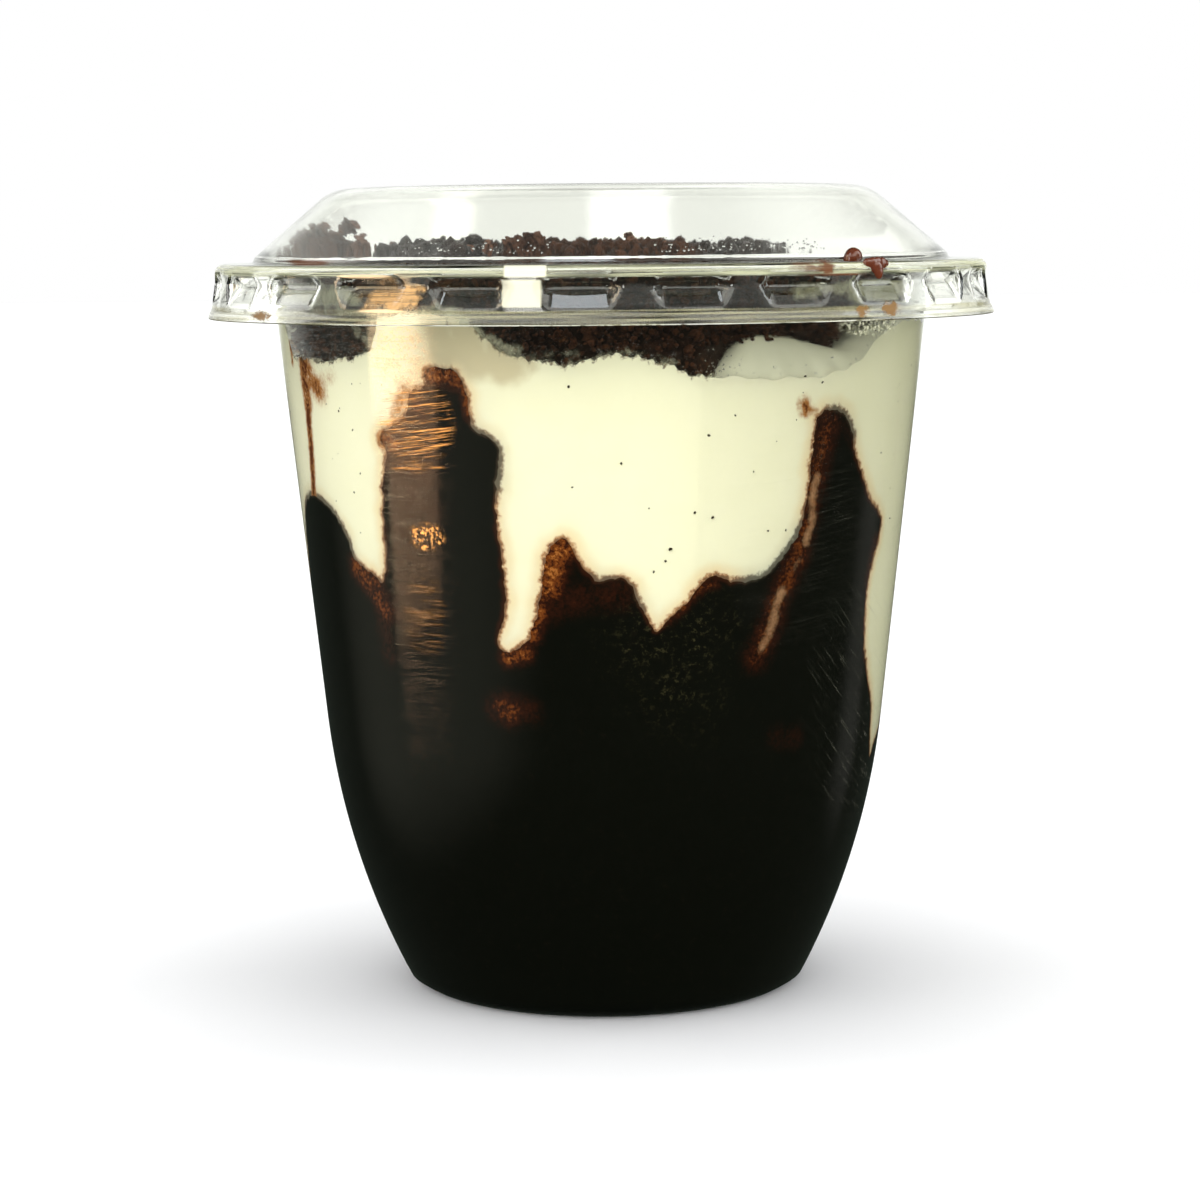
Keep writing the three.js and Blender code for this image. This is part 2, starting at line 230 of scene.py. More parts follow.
def angle_of(co):
    """The angle of each point round the tub, in degrees from the front."""
    return np.degrees(np.arctan2(co[:, 0], -co[:, 1]))


def around(angle, radius, z):
    """Points at these angles in degrees, radii and heights."""
    a = np.radians(angle)
    return np.stack(np.broadcast_arrays(radius * np.sin(a), -radius * np.cos(a), z), -1)


def count(obj):
    return f"{obj.name}: {len(obj.data.vertices)} points, {len(obj.data.polygons)} faces"


print("a soft step at its start, middle and end:", ease(0, 2, [0, 1, 2]))

# %% [markdown]
# ## The camera
# A long lens a little above the rim, looking slightly down. The place and the lens were worked out from
# the ovals of the lid and the base, so the model can be laid over the picture.

# %% Camera
CAMERA_PLACE, LENS = (0, -0.38754, 0.09428), 92.34
TURNED, DOWN, ROLLED = 0.00114, 0.11888, math.radians(-0.5)
bpy.ops.object.camera_add(location=CAMERA_PLACE)
camera = bpy.context.object
camera.name = "camera"
camera.data.lens = LENS
camera.data.sensor_width = 36.0
camera.data.clip_start = 0.01
camera.rotation_mode = "XYZ"
level_view = Matrix.Rotation(math.radians(90) - DOWN, 3, "X")
camera.rotation_euler = (Matrix.Rotation(TURNED, 3, "Z") @ level_view
                         @ Matrix.Rotation(ROLLED, 3, "Z")).to_euler("XYZ")
bpy.context.scene.camera = camera
print("camera at", tuple(camera.location))

# %% [markdown]
# ## Shader maths
# One small class wraps a node's output, so that a pattern can be written as a sum or a product, and adds
# the Math nodes by itself.


# %% Numbers that change over a surface
def connect(tree, value, slot_in):
    """Links a shader value to a socket, or sets a plain number or colour on it."""
    if isinstance(value, Value):
        tree.links.new(value.socket, slot_in)
    else:
        slot_in.default_value = value


class Value:
    """A number that changes over a surface: the output of a shader node."""

    def __init__(self, tree, socket):
        self.tree, self.socket = tree, socket

    def _math(self, operation, *others):
        node = self.tree.nodes.new("ShaderNodeMath")
        node.operation = operation
        for slot_in, value in zip(node.inputs, others):
            connect(self.tree, value, slot_in)
        return Value(self.tree, node.outputs[0])

    def __add__(self, other):
        return self._math("ADD", self, other)

    def __mul__(self, other):
        return self._math("MULTIPLY", self, other)

    def __sub__(self, other):
        return self._math("SUBTRACT", self, other)

    def __rsub__(self, other):
        return self._math("SUBTRACT", other, self)

    def __truediv__(self, other):
        return self._math("DIVIDE", self, other)

    def __pow__(self, other):
        return self._math("POWER", self, other)

    __radd__, __rmul__ = __add__, __mul__

    def above(self, low, high):
        """0 below low, 1 above high, and smooth between."""
        node = self.tree.nodes.new("ShaderNodeMapRange")
        node.interpolation_type = "SMOOTHSTEP"
        node.inputs["From Min"].default_value, node.inputs["From Max"].default_value = low, high
        self.tree.links.new(self.socket, node.inputs["Value"])
        return Value(self.tree, node.outputs["Result"])

    def between(self, a, b, c, d):
        """Rises from a to b and falls again from c to d."""
        return self.above(a, b) * (1 - self.above(c, d))

    def size(self):
        return self._math("ABSOLUTE", self)

    def biggest(self, other):
        return self._math("MAXIMUM", self, other)


print("maths ready on", Value.__name__)

# %% [markdown]
# ## A finish
# Each finish is a Principled shader with its patterns. Any node but a Math node comes from one method
# that takes its type, its settings and its inputs. A veil is a matte layer that a mask lays over the
# shader, for smears on plastic and for highlights and reflections painted on it.


# %% Finishes
class Finish:
    """A material with a Principled shader, and the means to drive it."""

    def __init__(self, name, **constants):
        self.material = bpy.data.materials.new(name)
        self.material.use_nodes = True
        self.tree = self.material.node_tree
        self.tree.nodes.clear()
        self.out = self.tree.nodes.new("ShaderNodeOutputMaterial")
        self.shader = self.tree.nodes.new("ShaderNodeBsdfPrincipled")
        self.tree.links.new(self.shader.outputs[0], self.out.inputs["Surface"])
        for key, value in constants.items():
            self.shader.inputs[key.replace("_", " ")].default_value = value
        self.place = self.node("ShaderNodeTexCoord", output="Object")

    def node(self, kind, settings=None, output=0, **inputs):
        """Adds a node, sets its settings, feeds its inputs, and gives one of its outputs."""
        node = self.tree.nodes.new(kind)
        for key, value in (settings or {}).items():
            setattr(node, key, value)
        for key, value in inputs.items():
            connect(self.tree, value, node.inputs[key.replace("_", " ")])
        return Value(self.tree, node.outputs[output])

    def noise(self, scale, detail=3.0, roughness=0.5, where=None):
        """Smooth noise whose spots are about 1/scale metres across."""
        where = where or self.place
        return self.node("ShaderNodeTexNoise", Vector=where, Scale=scale, Detail=detail,
                         Roughness=roughness)

    def stretched(self, x, y, z):
        """The place, stretched along each axis, for a pattern that runs one way."""
        return self.node("ShaderNodeMapping", Vector=self.place, Scale=(x, y, z))

    def axes(self):
        """The place's three coordinates, one by one."""
        split = self.tree.nodes.new("ShaderNodeSeparateXYZ")
        self.tree.links.new(self.place.socket, split.inputs[0])
        return [Value(self.tree, socket) for socket in split.outputs]

    def attribute(self, name):
        return self.node("ShaderNodeAttribute", {"attribute_name": name}, output="Fac")

    def mix(self, factor, a, b):
        """Colour a where factor is 0 and b where it is 1."""
        node = self.tree.nodes.new("ShaderNodeMix")
        node.data_type = "RGBA"
        for slot_in, value in (("Factor", factor), (6, a), (7, b)):
            connect(self.tree, value, node.inputs[slot_in])
        return Value(self.tree, node.outputs[2])

    def feed(self, **inputs):
        for key, value in inputs.items():
            self.tree.links.new(value.socket, self.shader.inputs[key.replace("_", " ")])

    def bump(self, height, strength, distance):
        self.feed(Normal=self.node("ShaderNodeBump", Height=height, Strength=strength, Distance=distance))

    def lay_over(self, factor, kind, tone):
        """Lays a shader of this kind and tone over the finish, by a factor from 0 to 1."""
        layer = self.tree.nodes.new(kind)
        layer.inputs[0].default_value = tone
        mixer = self.tree.nodes.new("ShaderNodeMixShader")
        under = self.out.inputs["Surface"].links[0].from_socket
        for slot_in, source in enumerate((factor, under, layer.outputs[0])):
            self.tree.links.new(source, mixer.inputs[slot_in])
        self.tree.links.new(mixer.outputs[0], self.out.inputs["Surface"])

    def let_shadows_through(self, tone):
        """Lets lamps shine straight through the piece, tinted."""
        light_path = self.tree.nodes.new("ShaderNodeLightPath")
        self.lay_over(light_path.outputs["Is Shadow Ray"], "ShaderNodeBsdfTransparent", tone)

    def veil(self, factor, tone):
        """Lays a matte tone over the finish where factor is above 0."""
        self.lay_over(factor.socket, "ShaderNodeBsdfDiffuse", tone)

    def on(self, *objects):
        for obj in objects:
            obj.data.materials.clear()
            obj.data.materials.append(self.material)


def color(red, green, blue):
    """A colour as a picture program names it, from 0 to 255, as Blender's linear light."""
    def linear(c):
        c /= 255
        return c / 12.92 if c <= 0.04045 else ((c + 0.055) / 1.055) ** 2.4

    return (linear(red), linear(green), linear(blue), 1.0)


print("middle grey in linear light:", [round(c, 3) for c in color(128, 128, 128)])

# %% [markdown]
# ## The cup
# The real cup is one sheet of clear plastic, half a millimetre thick, sucked into a mould. Its section is
# drawn once, outside and inside, with a rounded edge on the rim, and spun round the axis.

# %% Cup
quarter = math.pi / 2
wall_rows = [float(z) for z in np.concatenate([np.linspace(2.2, 34, 22), np.linspace(36.5, 88.4, 16)])]
rim_under = RIM_TOP - SHEET
cup_profile = (
    [(0, FOOT_RECESS), (8, FOOT_RECESS), (FOOT_INNER - 2.2, FOOT_RECESS), (FOOT_INNER - 1.2, 0.66),
     (FOOT_INNER - 0.4, 0.2)]
    + [(FOOT_INNER + 0.3, 0.03), (FOOT_INNER + 1.0, 0.0), (FOOT_OUTER - 0.5, 0.0), (FOOT_OUTER + 0.1, 0.06)]
    + [(FOOT_OUTER + 0.62, 0.35), (float(wall_radius(0.95)) - 0.02, 0.95)]
    + [(float(wall_radius(z)), z) for z in wall_rows]
    + [(MOUTH_RADIUS, MOUTH_Z - 0.25), (MOUTH_RADIUS + 0.12, rim_under - 0.12),
       (MOUTH_RADIUS + 0.5, rim_under)]
    + straight((MOUTH_RADIUS + 1.2, rim_under), (RIM_RADIUS - 0.3, rim_under), 3)
    + arc(RIM_RADIUS - SHEET / 2, RIM_TOP - SHEET / 2, SHEET / 2, -quarter, quarter, 6)
    + straight((RIM_RADIUS - 0.6, RIM_TOP), (MOUTH_RADIUS + 0.6, RIM_TOP), 3)
    + [(MOUTH_RADIUS + 0.25, RIM_TOP - 0.04), (MOUTH_RADIUS - 0.2, RIM_TOP - 0.25),
       (MOUTH_RADIUS - 0.42, RIM_TOP - 0.7)]
    + [(float(wall_radius(z)) - SHEET, z) for z in reversed(wall_rows)]
    + [(float(wall_radius(1.3)) - SHEET, 1.3), (FOOT_OUTER - 0.15, 0.66), (FOOT_OUTER - 0.8, SHEET),
       (FOOT_INNER + 1.2, SHEET)]
    + [(FOOT_INNER + 0.5, 0.55), (FOOT_INNER - 0.2, 0.75), (FOOT_INNER - 1.0, 1.15),
       (FOOT_INNER - 2.2, FOOT_RECESS + SHEET)]
    + [(8, FOOT_RECESS + SHEET), (0, FOOT_RECESS + SHEET)]
)
cup = smooth(spun("clear_cup", cup_profile, 240))
print(count(cup))

# %% [markdown]
# ## The lid
# The lid is pressed from the same sheet. A dome with a flat top stands on a ring, and a skirt with 24
# lugs hangs from it. The section is spun first, and then each lug is pressed in by moving points: a flat
# face with rounded cheeks, deepest at a ridge that catches under the cup's rim.


# %% The lid's skirt
SKIRT_HEIGHTS = [84.1, 84.4, 84.75, 85.15, 85.6, 86.2, 88.6]
SKIRT_RADII = [48.93, 48.9, 48.76, 48.52, 48.37, 48.3, 47.95]


def skirt_radius(z):
    """Outside radius of the skirt: upright above the ridge, and opening slightly below it."""
    return np.interp(z, SKIRT_HEIGHTS, SKIRT_RADII)


def lug_pressed(angle, z):
    """How far the skirt is pressed in, from 0 to 1, and how flat it is. The angle is in radians."""
    pitch = 2 * math.pi / LUGS
    across = ((angle - LUG_PHASE + pitch / 2) % pitch - pitch / 2) * SKIRT_RADIUS
    up = np.interp(z, [85.9, 88.15, 88.5, 89.85], [0, 1, 1, 0])
    # A flat face with a three-cornered cheek at each side, widest at the ridge.
    side = np.clip(1 - (np.abs(across) - LUG_FACE_HALF) / (1.25 * up + 0.12), 0, 1)
    chord = across ** 2 / (2 * SKIRT_RADIUS)
    return side * up, side * up * (0.16 - chord)


def crown(grow):
    """The bend between the dome's flat top and its slope."""
    bend = DOME_CROWN_ARC + grow
    return arc(DOME_FLAT_RADIUS, DOME_TOP - DOME_CROWN_ARC, bend, quarter, quarter - DOME_SLOPE, 12)


print("skirt radius at the lip and at the top:", skirt_radius(LIP_Z), skirt_radius(LEDGE_Z))

# %% Lid
FLAT_RADII = [0, 6, 12, 18, 24]
skirt_rows = [*np.linspace(89.85, 88.5, 7), *np.linspace(88.15, 85.9, 10), 85.6, 85.35, 85.1, 84.85, 84.6]
lid_outer = (
    [(r, DOME_TOP) for r in FLAT_RADII] + crown(0)
    + straight(crown(0)[-1], (DOME_FOOT_RADIUS - 0.35, DOME_FOOT_Z + 0.32), 6)[1:]
    + [(DOME_FOOT_RADIUS - 0.35, DOME_FOOT_Z + 0.32), (DOME_FOOT_RADIUS - 0.1, DOME_FOOT_Z + 0.05)]
    + [(DOME_FOOT_RADIUS + 0.02, DOME_FOOT_Z - 0.3), (DOME_FOOT_RADIUS + 0.2, LEDGE_Z + 0.12)]
    + [(DOME_FOOT_RADIUS + 0.6, LEDGE_Z + 0.04), (DOME_FOOT_RADIUS + 1.6, LEDGE_Z),
       (SKIRT_RADIUS - 1.9, LEDGE_Z)]
    + arc(SKIRT_RADIUS - 1.15, LEDGE_Z - 1.15, 1.15, quarter, 0, 7)
    + [(float(skirt_radius(z)), float(z)) for z in skirt_rows if z < LEDGE_Z - 1.2]
)
lid_inner = (
    [(LIP_RADIUS - 0.45, 84.12)]
    + [(float(skirt_radius(z)) - SHEET, float(z)) for z in reversed(skirt_rows) if z < LEDGE_Z - 1.2]
    + arc(SKIRT_RADIUS - 1.15, LEDGE_Z - 1.15, 0.65, 0, quarter, 5)
    + [(SKIRT_RADIUS - 1.9, LEDGE_Z - SHEET), (DOME_FOOT_RADIUS + 1.0, LEDGE_Z - SHEET)]
    + [(DOME_FOOT_RADIUS + 0.2, LEDGE_Z - SHEET + 0.04), (DOME_FOOT_RADIUS - 0.22, LEDGE_Z - 0.3)]
    + [(DOME_FOOT_RADIUS - 0.42, DOME_FOOT_Z - 0.36), (DOME_FOOT_RADIUS - 0.5, DOME_FOOT_Z - 0.2)]
    + straight((DOME_FOOT_RADIUS - 0.78, DOME_FOOT_Z + 0.06), crown(-SHEET)[-1], 6)
    + crown(-SHEET)[::-1]
    + [(r, DOME_TOP - SHEET) for r in reversed(FLAT_RADII)]
)
lid_lip = [(LIP_RADIUS - 0.02, 84.22), (LIP_RADIUS - 0.12, LIP_Z)]
lid = spun("clear_lid", lid_outer + lid_lip + lid_inner, LUGS * 28)
lid_co = points_of(lid)
lid_angle = np.arctan2(lid_co[:, 0], -lid_co[:, 1])
lid_r = np.hypot(lid_co[:, 0], lid_co[:, 1])
share, flat = lug_pressed(lid_angle, lid_co[:, 2])
near_skirt = ease(DOME_FOOT_RADIUS + 1.5, SKIRT_RADIUS - 1.3, lid_r)
lid_new_r = lid_r - near_skirt * (LUG_DEPTH * share + flat)
lid_co[:, :2] *= (lid_new_r / np.maximum(lid_r, 1e-6))[:, None]
move_points(lid, lid_co)
smooth(lid, 36)
print(count(lid))

# %% [markdown]
# ## The food as one body
# Sauce and ice cream together fill the cup without a gap, so they start as one body, spun a tenth of a
# millimetre into the wall, which keeps air from showing between food and plastic. Its top is then shaped
# height for height: the ice cream climbs behind the tallest tongue, dips at the front right, and
# has a scooped mound there that stands a few millimetres free of the wall.

# %% The ice cream's edge
WALL_TOUCH = 0.4
CREAM_LEVEL = 79.6
cream_line = np.array([
    (-180, 79.8), (-150, 80.4), (-120, 79.8), (-100, 83.2), (-90, 84.9), (-77, 85.3), (-73, 84.4),
    (-71, 81.2), (-69, 79.8), (-64.2, 79.5), (-54.2, 79.3), (-47, 80.0), (-42.6, 80.8), (-40.8, 82.6),
    (-39.8, 84.8), (-34, 85.4), (-26.5, 85.2), (-24.2, 84.6), (-21.6, 84.0), (-19.8, 82.4), (-16.8, 81.1),
    (-14.2, 80.4), (-11.8, 80.1), (-9.2, 79.6), (-5.5, 79.4), (-1.6, 80.2), (2.5, 80.5), (6.0, 80.4),
    (9.3, 79.7), (12.2, 78.9), (14.3, 78.2), (18.3, 77.9), (22.7, 77.7), (31.5, 77.4), (40.2, 77.5),
    (46, 78.1), (50, 79.3), (53, 80.7), (56, 82.0), (60.7, 83.2), (71, 83.6), (80, 82.8), (90, 81.2),
    (120, 79.2), (150, 80.2), (180, 79.8),
])
# The mound's crest, by the angle round the tub.
mound_crest = np.array([
    (20, 78.0), (22.7, 79.1), (26, 80.8), (28.4, 81.7), (31, 82.1), (37, 81.6), (42.5, 81.2), (48.3, 80.8),
    (55, 80.1), (60, 80.6), (70, 81.2), (84, 80.6),
])
MOUND_DISTANCE = 4.3


def wavy(x, y, size, seed):
    """Gentle unevenness from -1 to 1, whose waves are about this long."""
    rng = np.random.default_rng(seed)
    total = 0
    for _ in range(6):
        turn, phase = rng.uniform(0, 2 * math.pi, 2)
        length = size * rng.uniform(0.7, 1.6)
        total = total + np.sin((x * math.cos(turn) + y * math.sin(turn)) * 2 * math.pi / length + phase)
    return total / 3.2


def at_mound(angle):
    """1 in front of the mound, where the ice cream is smooth, and 0 elsewhere."""
    return between(16, 22, 74, 84, angle)


def cream_edge(angle):
    """Height of the ice cream where it meets the wall."""
    a = (np.asarray(angle, float) + 180) % 360 - 180
    swell = 0.25 * np.sin(a * 0.9) * np.sin(a * 0.31 + 1)
    ripples = 0.15 * np.sin(a * 4.7 + 2 * np.sin(a * 0.7)) + 0.13 * np.sin(a * 2.3 + 1)
    return np.interp(a, cream_line[:, 0], cream_line[:, 1]) + swell + ripples * (1 - at_mound(a))


def cream_top(angle, distance):
    """Height of the ice cream's top, at a distance in from the wall."""
    edge = cream_edge(angle)
    settled = ease(1, 16, distance)
    a = apart(angle, 0)
    in_mound = between(19.5, 22, 66, 84, a)
    crest = between(0.15, MOUND_DISTANCE, MOUND_DISTANCE + 1, 16, distance)
    mound = np.interp(a, mound_crest[:, 0], mound_crest[:, 1])
    return edge + (CREAM_LEVEL - edge) * settled + np.maximum(mound - edge, 0) * crest * in_mound


print("ice cream at the wall, front and mound:", [round(float(cream_edge(a)), 1) for a in (0, 40)])

# %% Food body
SHAPED_FROM = 30  # millimetres up, where the wall's rows of points begin to follow the edge
fine_rows = np.linspace(SHAPED_FROM, CREAM_LEVEL, 100)
food_profile = (
    [(0, 1.2), (8, 1.2), (15, 1.2), (16.1, 1.04), (16.9, 0.66), (17.65, 0.44), (18.4, 0.4), (22.85, 0.4)]
    + [(23.5, 0.57)]
    + [(float(wall_radius(z)) - WALL_TOUCH, z) for z in [1.25, 2.2, 4, 6.5, *range(9, 28, 3), *fine_rows]]
)
top_radius = food_profile[-1][0]
cap_rings = [0.35, 0.8, 1.4, 2.1, 2.9, 3.7, 4.5, 5.5, 7, 9, 12, 16, 22, 30]
food_top = [(top_radius - d, CREAM_LEVEL) for d in cap_rings] + [(0, CREAM_LEVEL)]
food = spun("food_body", food_profile + food_top, 600)

co = points_of(food)
angle, radius, z = angle_of(co), np.hypot(co[:, 0], co[:, 1]), co[:, 2]
is_cap = (z > CREAM_LEVEL - 0.01) & (radius < top_radius - 0.2)
is_wall = (z > SHAPED_FROM + 0.01) & ~is_cap
edge = cream_edge(angle)
new_z, new_r = z.copy(), radius.copy()
over = z[is_wall] - SHAPED_FROM
new_z[is_wall] = SHAPED_FROM + over * (edge[is_wall] - SHAPED_FROM) / (CREAM_LEVEL - SHAPED_FROM)
new_r[is_wall] = wall_radius(new_z[is_wall]) - WALL_TOUCH
new_r[is_cap] = radius[is_cap] / top_radius * (wall_radius(edge[is_cap]) - WALL_TOUCH)
new_z[is_cap] = cream_top(angle[is_cap], top_radius - radius[is_cap])
co = around(angle, new_r, new_z)
scooped = 0.22 * wavy(co[:, 0], co[:, 1], 9, 3) * ease(0.3, 3, top_radius - radius)
co[:, 2] += np.where(is_cap, scooped, 0)
move_points(food, co)
print(count(food))

# %% [markdown]
# ## Where the sauce ends on the wall
# The edge of the sauce is what makes the tub look poured, so its run round the wall is laid down as a
# line of angle and height, as one would draw it on the unrolled wall. The front follows the picture.
# Behind, a few tongues carry on in the same manner. The line is then rounded and made slightly ragged.

# %% Sauce edge
front_edge = [
    (-96, 49), (-88, 50), (-82, 51.5), (-79, 55), (-77, 58.5), (-74.9, 60.9), (-70, 62.6), (-65.4, 62.7),
    (-60.8, 62), (-57.3, 60.3), (-54.4, 58.1), (-52.3, 55.7), (-49.5, 54.8), (-47.4, 54.2), (-44.9, 53.4),
    (-43.9, 54.6), (-43.3, 56.2), (-42.9, 59.5), (-42.6, 63.3), (-42.2, 65.7), (-40.9, 68), (-40.4, 69.3),
    (-41.7, 70.3), (-41.5, 71.2), (-39.6, 71.9), (-37.2, 72.7), (-35.4, 73.5), (-34.8, 74.6),
    (-34.5, 75.8), (-33.6, 76.4), (-31.8, 76.6), (-31, 77.3), (-30.7, 78.4), (-29.9, 79), (-27, 79.1),
    (-25.2, 79), (-24.4, 78.3), (-23.8, 77.2), (-22.9, 75.6), (-22.6, 73.4), (-22, 71.9), (-20.6, 71.4),
    (-19.2, 71.1), (-18.1, 70), (-17.9, 68.6), (-18.4, 66.5), (-19, 63.9), (-18.7, 60.3), (-18.4, 56.9),
    (-17.9, 53.5), (-18.2, 51), (-19.3, 48.8), (-19.9, 47.5), (-19.6, 46.5), (-18.4, 46.1), (-16.7, 46.3),
    (-15, 46.9), (-13.7, 47.8), (-12.4, 50), (-11.5, 52.3), (-11, 54.2), (-10.6, 55.9), (-10, 57.4),
    (-9.2, 58.5), (-8.2, 58.9), (-7, 59.6), (-6.2, 59.4), (-5.5, 58.7), (-4.2, 57), (-2.7, 55.4),
    (-1, 54.6), (1.5, 54.9), (3.9, 54.8), (5.4, 53.6), (6.6, 51.8), (8, 50), (9.2, 48.7), (10.2, 48.6),
    (11.2, 49.4), (12.6, 50.4), (14, 51.3), (15.4, 52.1), (16.8, 53.1), (18.6, 54.3), (20.5, 54.9),
    (23, 54.2), (25.5, 53.9), (27.6, 54), (29.7, 54.3), (31.2, 54.8), (32.8, 55.7), (34.6, 56.7), (36, 58),
    (37.2, 59), (38, 60.3), (38.8, 62.8), (39.2, 65.5), (39.4, 67.6), (39.6, 69.6), (39.3, 71),
    (39.5, 72.2), (40.4, 73), (41.8, 73.4), (43.3, 73.5), (45.4, 73.3), (47.5, 72.6), (49.3, 70.8),
    (50.8, 68.4), (53.4, 65.6), (56.7, 62.8), (60.6, 61), (63.1, 59.5), (62.9, 57.8), (61.6, 55.9),
    (60.2, 53), (59.7, 50), (60, 47.4), (60.7, 44.9), (62.7, 42), (65, 39.5), (66.8, 38), (68.4, 36.5),
    (70, 33.2), (72, 30), (73.4, 29.4), (75, 30.6), (78, 32), (81.7, 33.1), (85, 36), (90, 40),
]
# Behind: the angle of a tongue's middle, its height, its half width, and how square it is.
back_tongues = [
    (104, 52, 10, 2.6), (121, 66, 8, 6), (141, 57, 9, 2.6), (163, 72.5, 6.5, 8), (184, 54, 9, 3),
    (207, 69, 9, 8), (231, 58, 9, 3), (251, 64.5, 6.5, 5),
]
BACK_LEVEL = 44


def back_height(a):
    """Height of the edge behind: the tallest tongue's share at this angle, over the level between them."""
    tongues = [(top - BACK_LEVEL) * math.exp(-math.log(2) * (abs(a - at) / half) ** power)
               for at, top, half, power in back_tongues]
    return BACK_LEVEL + max(tongues)


back_angles = np.arange(96, 264, 1.0)
back_heights = [back_height(a) for a in back_angles]
control = np.array(front_edge + list(zip(back_angles, back_heights)))
UNROLL = 36.0 * math.pi / 180  # millimetres along the wall for each degree


def rounded_loop(points, spacing):
    """A smooth closed line through points of angle and height, with points this many millimetres apart."""
    first = points[0] + np.array([360, 0])
    p = np.vstack([points, first])
    before = np.vstack([points[-1] - np.array([360, 0]), p[:-1]])
    after = np.vstack([p[1:], points[1] + np.array([360, 0])])
    dense = []
    for i in range(len(p) - 1):
        a, b = p[i], p[i + 1]
        ta, tb = (p[i + 1] - before[i]) / 2, (after[i + 1] - p[i]) / 2
        t = np.linspace(0, 1, 24, endpoint=False)[:, None]
        leave_a, leave_b = 2 * t**3 - 3 * t**2 + 1, t**3 - 2 * t**2 + t
        dense.append(leave_a * a + leave_b * ta + (3 * t**2 - 2 * t**3) * b + (t**3 - t**2) * tb)
    dense = np.vstack(dense + [first])
    length = np.concatenate([[0], np.cumsum(np.hypot(np.diff(dense[:, 0]) * UNROLL, np.diff(dense[:, 1])))])
    where = np.linspace(0, length[-1], int(length[-1] / spacing), endpoint=False)
    return np.stack([np.interp(where, length, dense[:, 0]), np.interp(where, length, dense[:, 1])], 1)


sauce_line = rounded_loop(control, 0.34)
s_mm, z_mm = sauce_line[:, 0] * UNROLL, sauce_line[:, 1]
ragged = [sum(0.1 * wavy(s_mm, z_mm, size, seed + i) for i, size in enumerate((0.9, 1.7, 4.0)))
          for seed in (11, 15)]
sauce_line += np.stack([ragged[0] / UNROLL, ragged[1]], 1)
print("sauce edge:", len(sauce_line), "points")

# %% [markdown]
# ## Parting sauce from ice cream
# A cutting body is lofted from that line: it holds all that lies below it, steps inwards behind the wall,
# and falls to a level in the middle. What the food body shares with it is sauce, and the rest is ice
# cream, so the two fit each other exactly.


# %% Sauce and ice cream
def lofted(name, lower, rings, upper):
    """A closed body through rings of points, from a lower to an upper point on the axis."""
    n, m = len(rings[0]), len(rings)
    verts = np.vstack([[(0, 0, lower)], *rings, [(0, 0, upper)]])
    i = np.arange(n)
    j = (i + 1) % n
    faces = [(0, 1 + b, 1 + a) for a, b in zip(i, j)]
    for low in range(1, 1 + (m - 1) * n, n):
        faces += [(low + a, low + b, low + n + b, low + n + a) for a, b in zip(i, j)]
    last = 1 + (m - 1) * n
    faces += [(last + a, last + b, len(verts) - 1) for a, b in zip(i, j)]
    mesh = bpy.data.meshes.new(name)
    mesh.from_pydata((verts * MM).tolist(), [], [tuple(int(v) for v in f) for f in faces])
    obj = bpy.data.objects.new(name, mesh)
    bpy.context.scene.collection.objects.link(obj)
    return obj


even = sauce_line[0, 0] + np.arange(len(sauce_line)) / len(sauce_line) * 360
cutter = lofted("sauce_cutter", -6.0, [
    around(even, 45.0, -6.0),
    around(sauce_line[:, 0], wall_radius(sauce_line[:, 1]) + 4, sauce_line[:, 1]),
    around(sauce_line[:, 0], wall_radius(sauce_line[:, 1]) - 3.2, sauce_line[:, 1]),
    around(even, 14.0, 48.0),
], 48.5)
only(food)
bpy.ops.object.duplicate()
sauce = start_piece("dark_sauce")
apply_modifier(sauce, "BOOLEAN", operation="INTERSECT", solver="MANIFOLD", object=cutter)
apply_modifier(food, "BOOLEAN", operation="DIFFERENCE", solver="MANIFOLD", object=cutter)
cream = food
cream.name = cream.data.name = "ice_cream"
bpy.data.objects.remove(cutter)
for piece in (sauce, cream):
    smooth(piece, 40)
    print(count(piece))

# %% [markdown]
# ## Marks for the colours
# A thin film of sauce over ice cream is warm brown, and a thick one almost black, so the colour depends
# on how far a point is from the sauce's edge. That distance is measured once for each point and kept as
# an attribute. Smears and stains are short lines on the unrolled wall, each with a width, kept in the
# same way, and so are grey streaks and a painted shade along the crease at the mound's foot.


# %% Distance from the edge
def mark(obj, name, values):
    """Keeps a number for each point of the piece, for its material."""
    numbers = obj.data.attributes.new(name, "FLOAT", "POINT")
    numbers.data.foreach_set("value", np.asarray(values, np.float32))


def unrolled(obj):
    """Each point's place on the unrolled wall: millimetres along it from the front, and its height."""
    co = points_of(obj)
    return np.stack([angle_of(co) * UNROLL, co[:, 2]], 1)


edge_tree = kdtree.KDTree(3 * len(sauce_line))
for i, (a, z_edge) in enumerate(sauce_line):
    for turn in (-1, 0, 1):
        edge_tree.insert(((a + 360 * turn) * UNROLL, z_edge, 0), 3 * i + turn + 1)
edge_tree.balance()
for piece in (sauce, cream):
    mark(piece, "from_edge", [edge_tree.find((x, y, 0))[2] for x, y in unrolled(piece)])
print("distance to an edge of", len(sauce_line), "points measured")


def near_line(places, line, width):
    """1 on a line of (angle, height) points, fading away from it over this width."""
    line = np.array(line, float) * (UNROLL, 1)
    if len(line) == 1:
        line = np.vstack([line, line + 1e-4])
    best = np.full(len(places), 1e9)
    for a, b in zip(line[:-1], line[1:]):
        along = np.clip(((places - a) @ (b - a)) / ((b - a) @ (b - a)), 0, 1)
        best = np.minimum(best, np.hypot(*(places - a - along[:, None] * (b - a)).T))
    return np.exp(-1.4 * (best / width) ** 2)
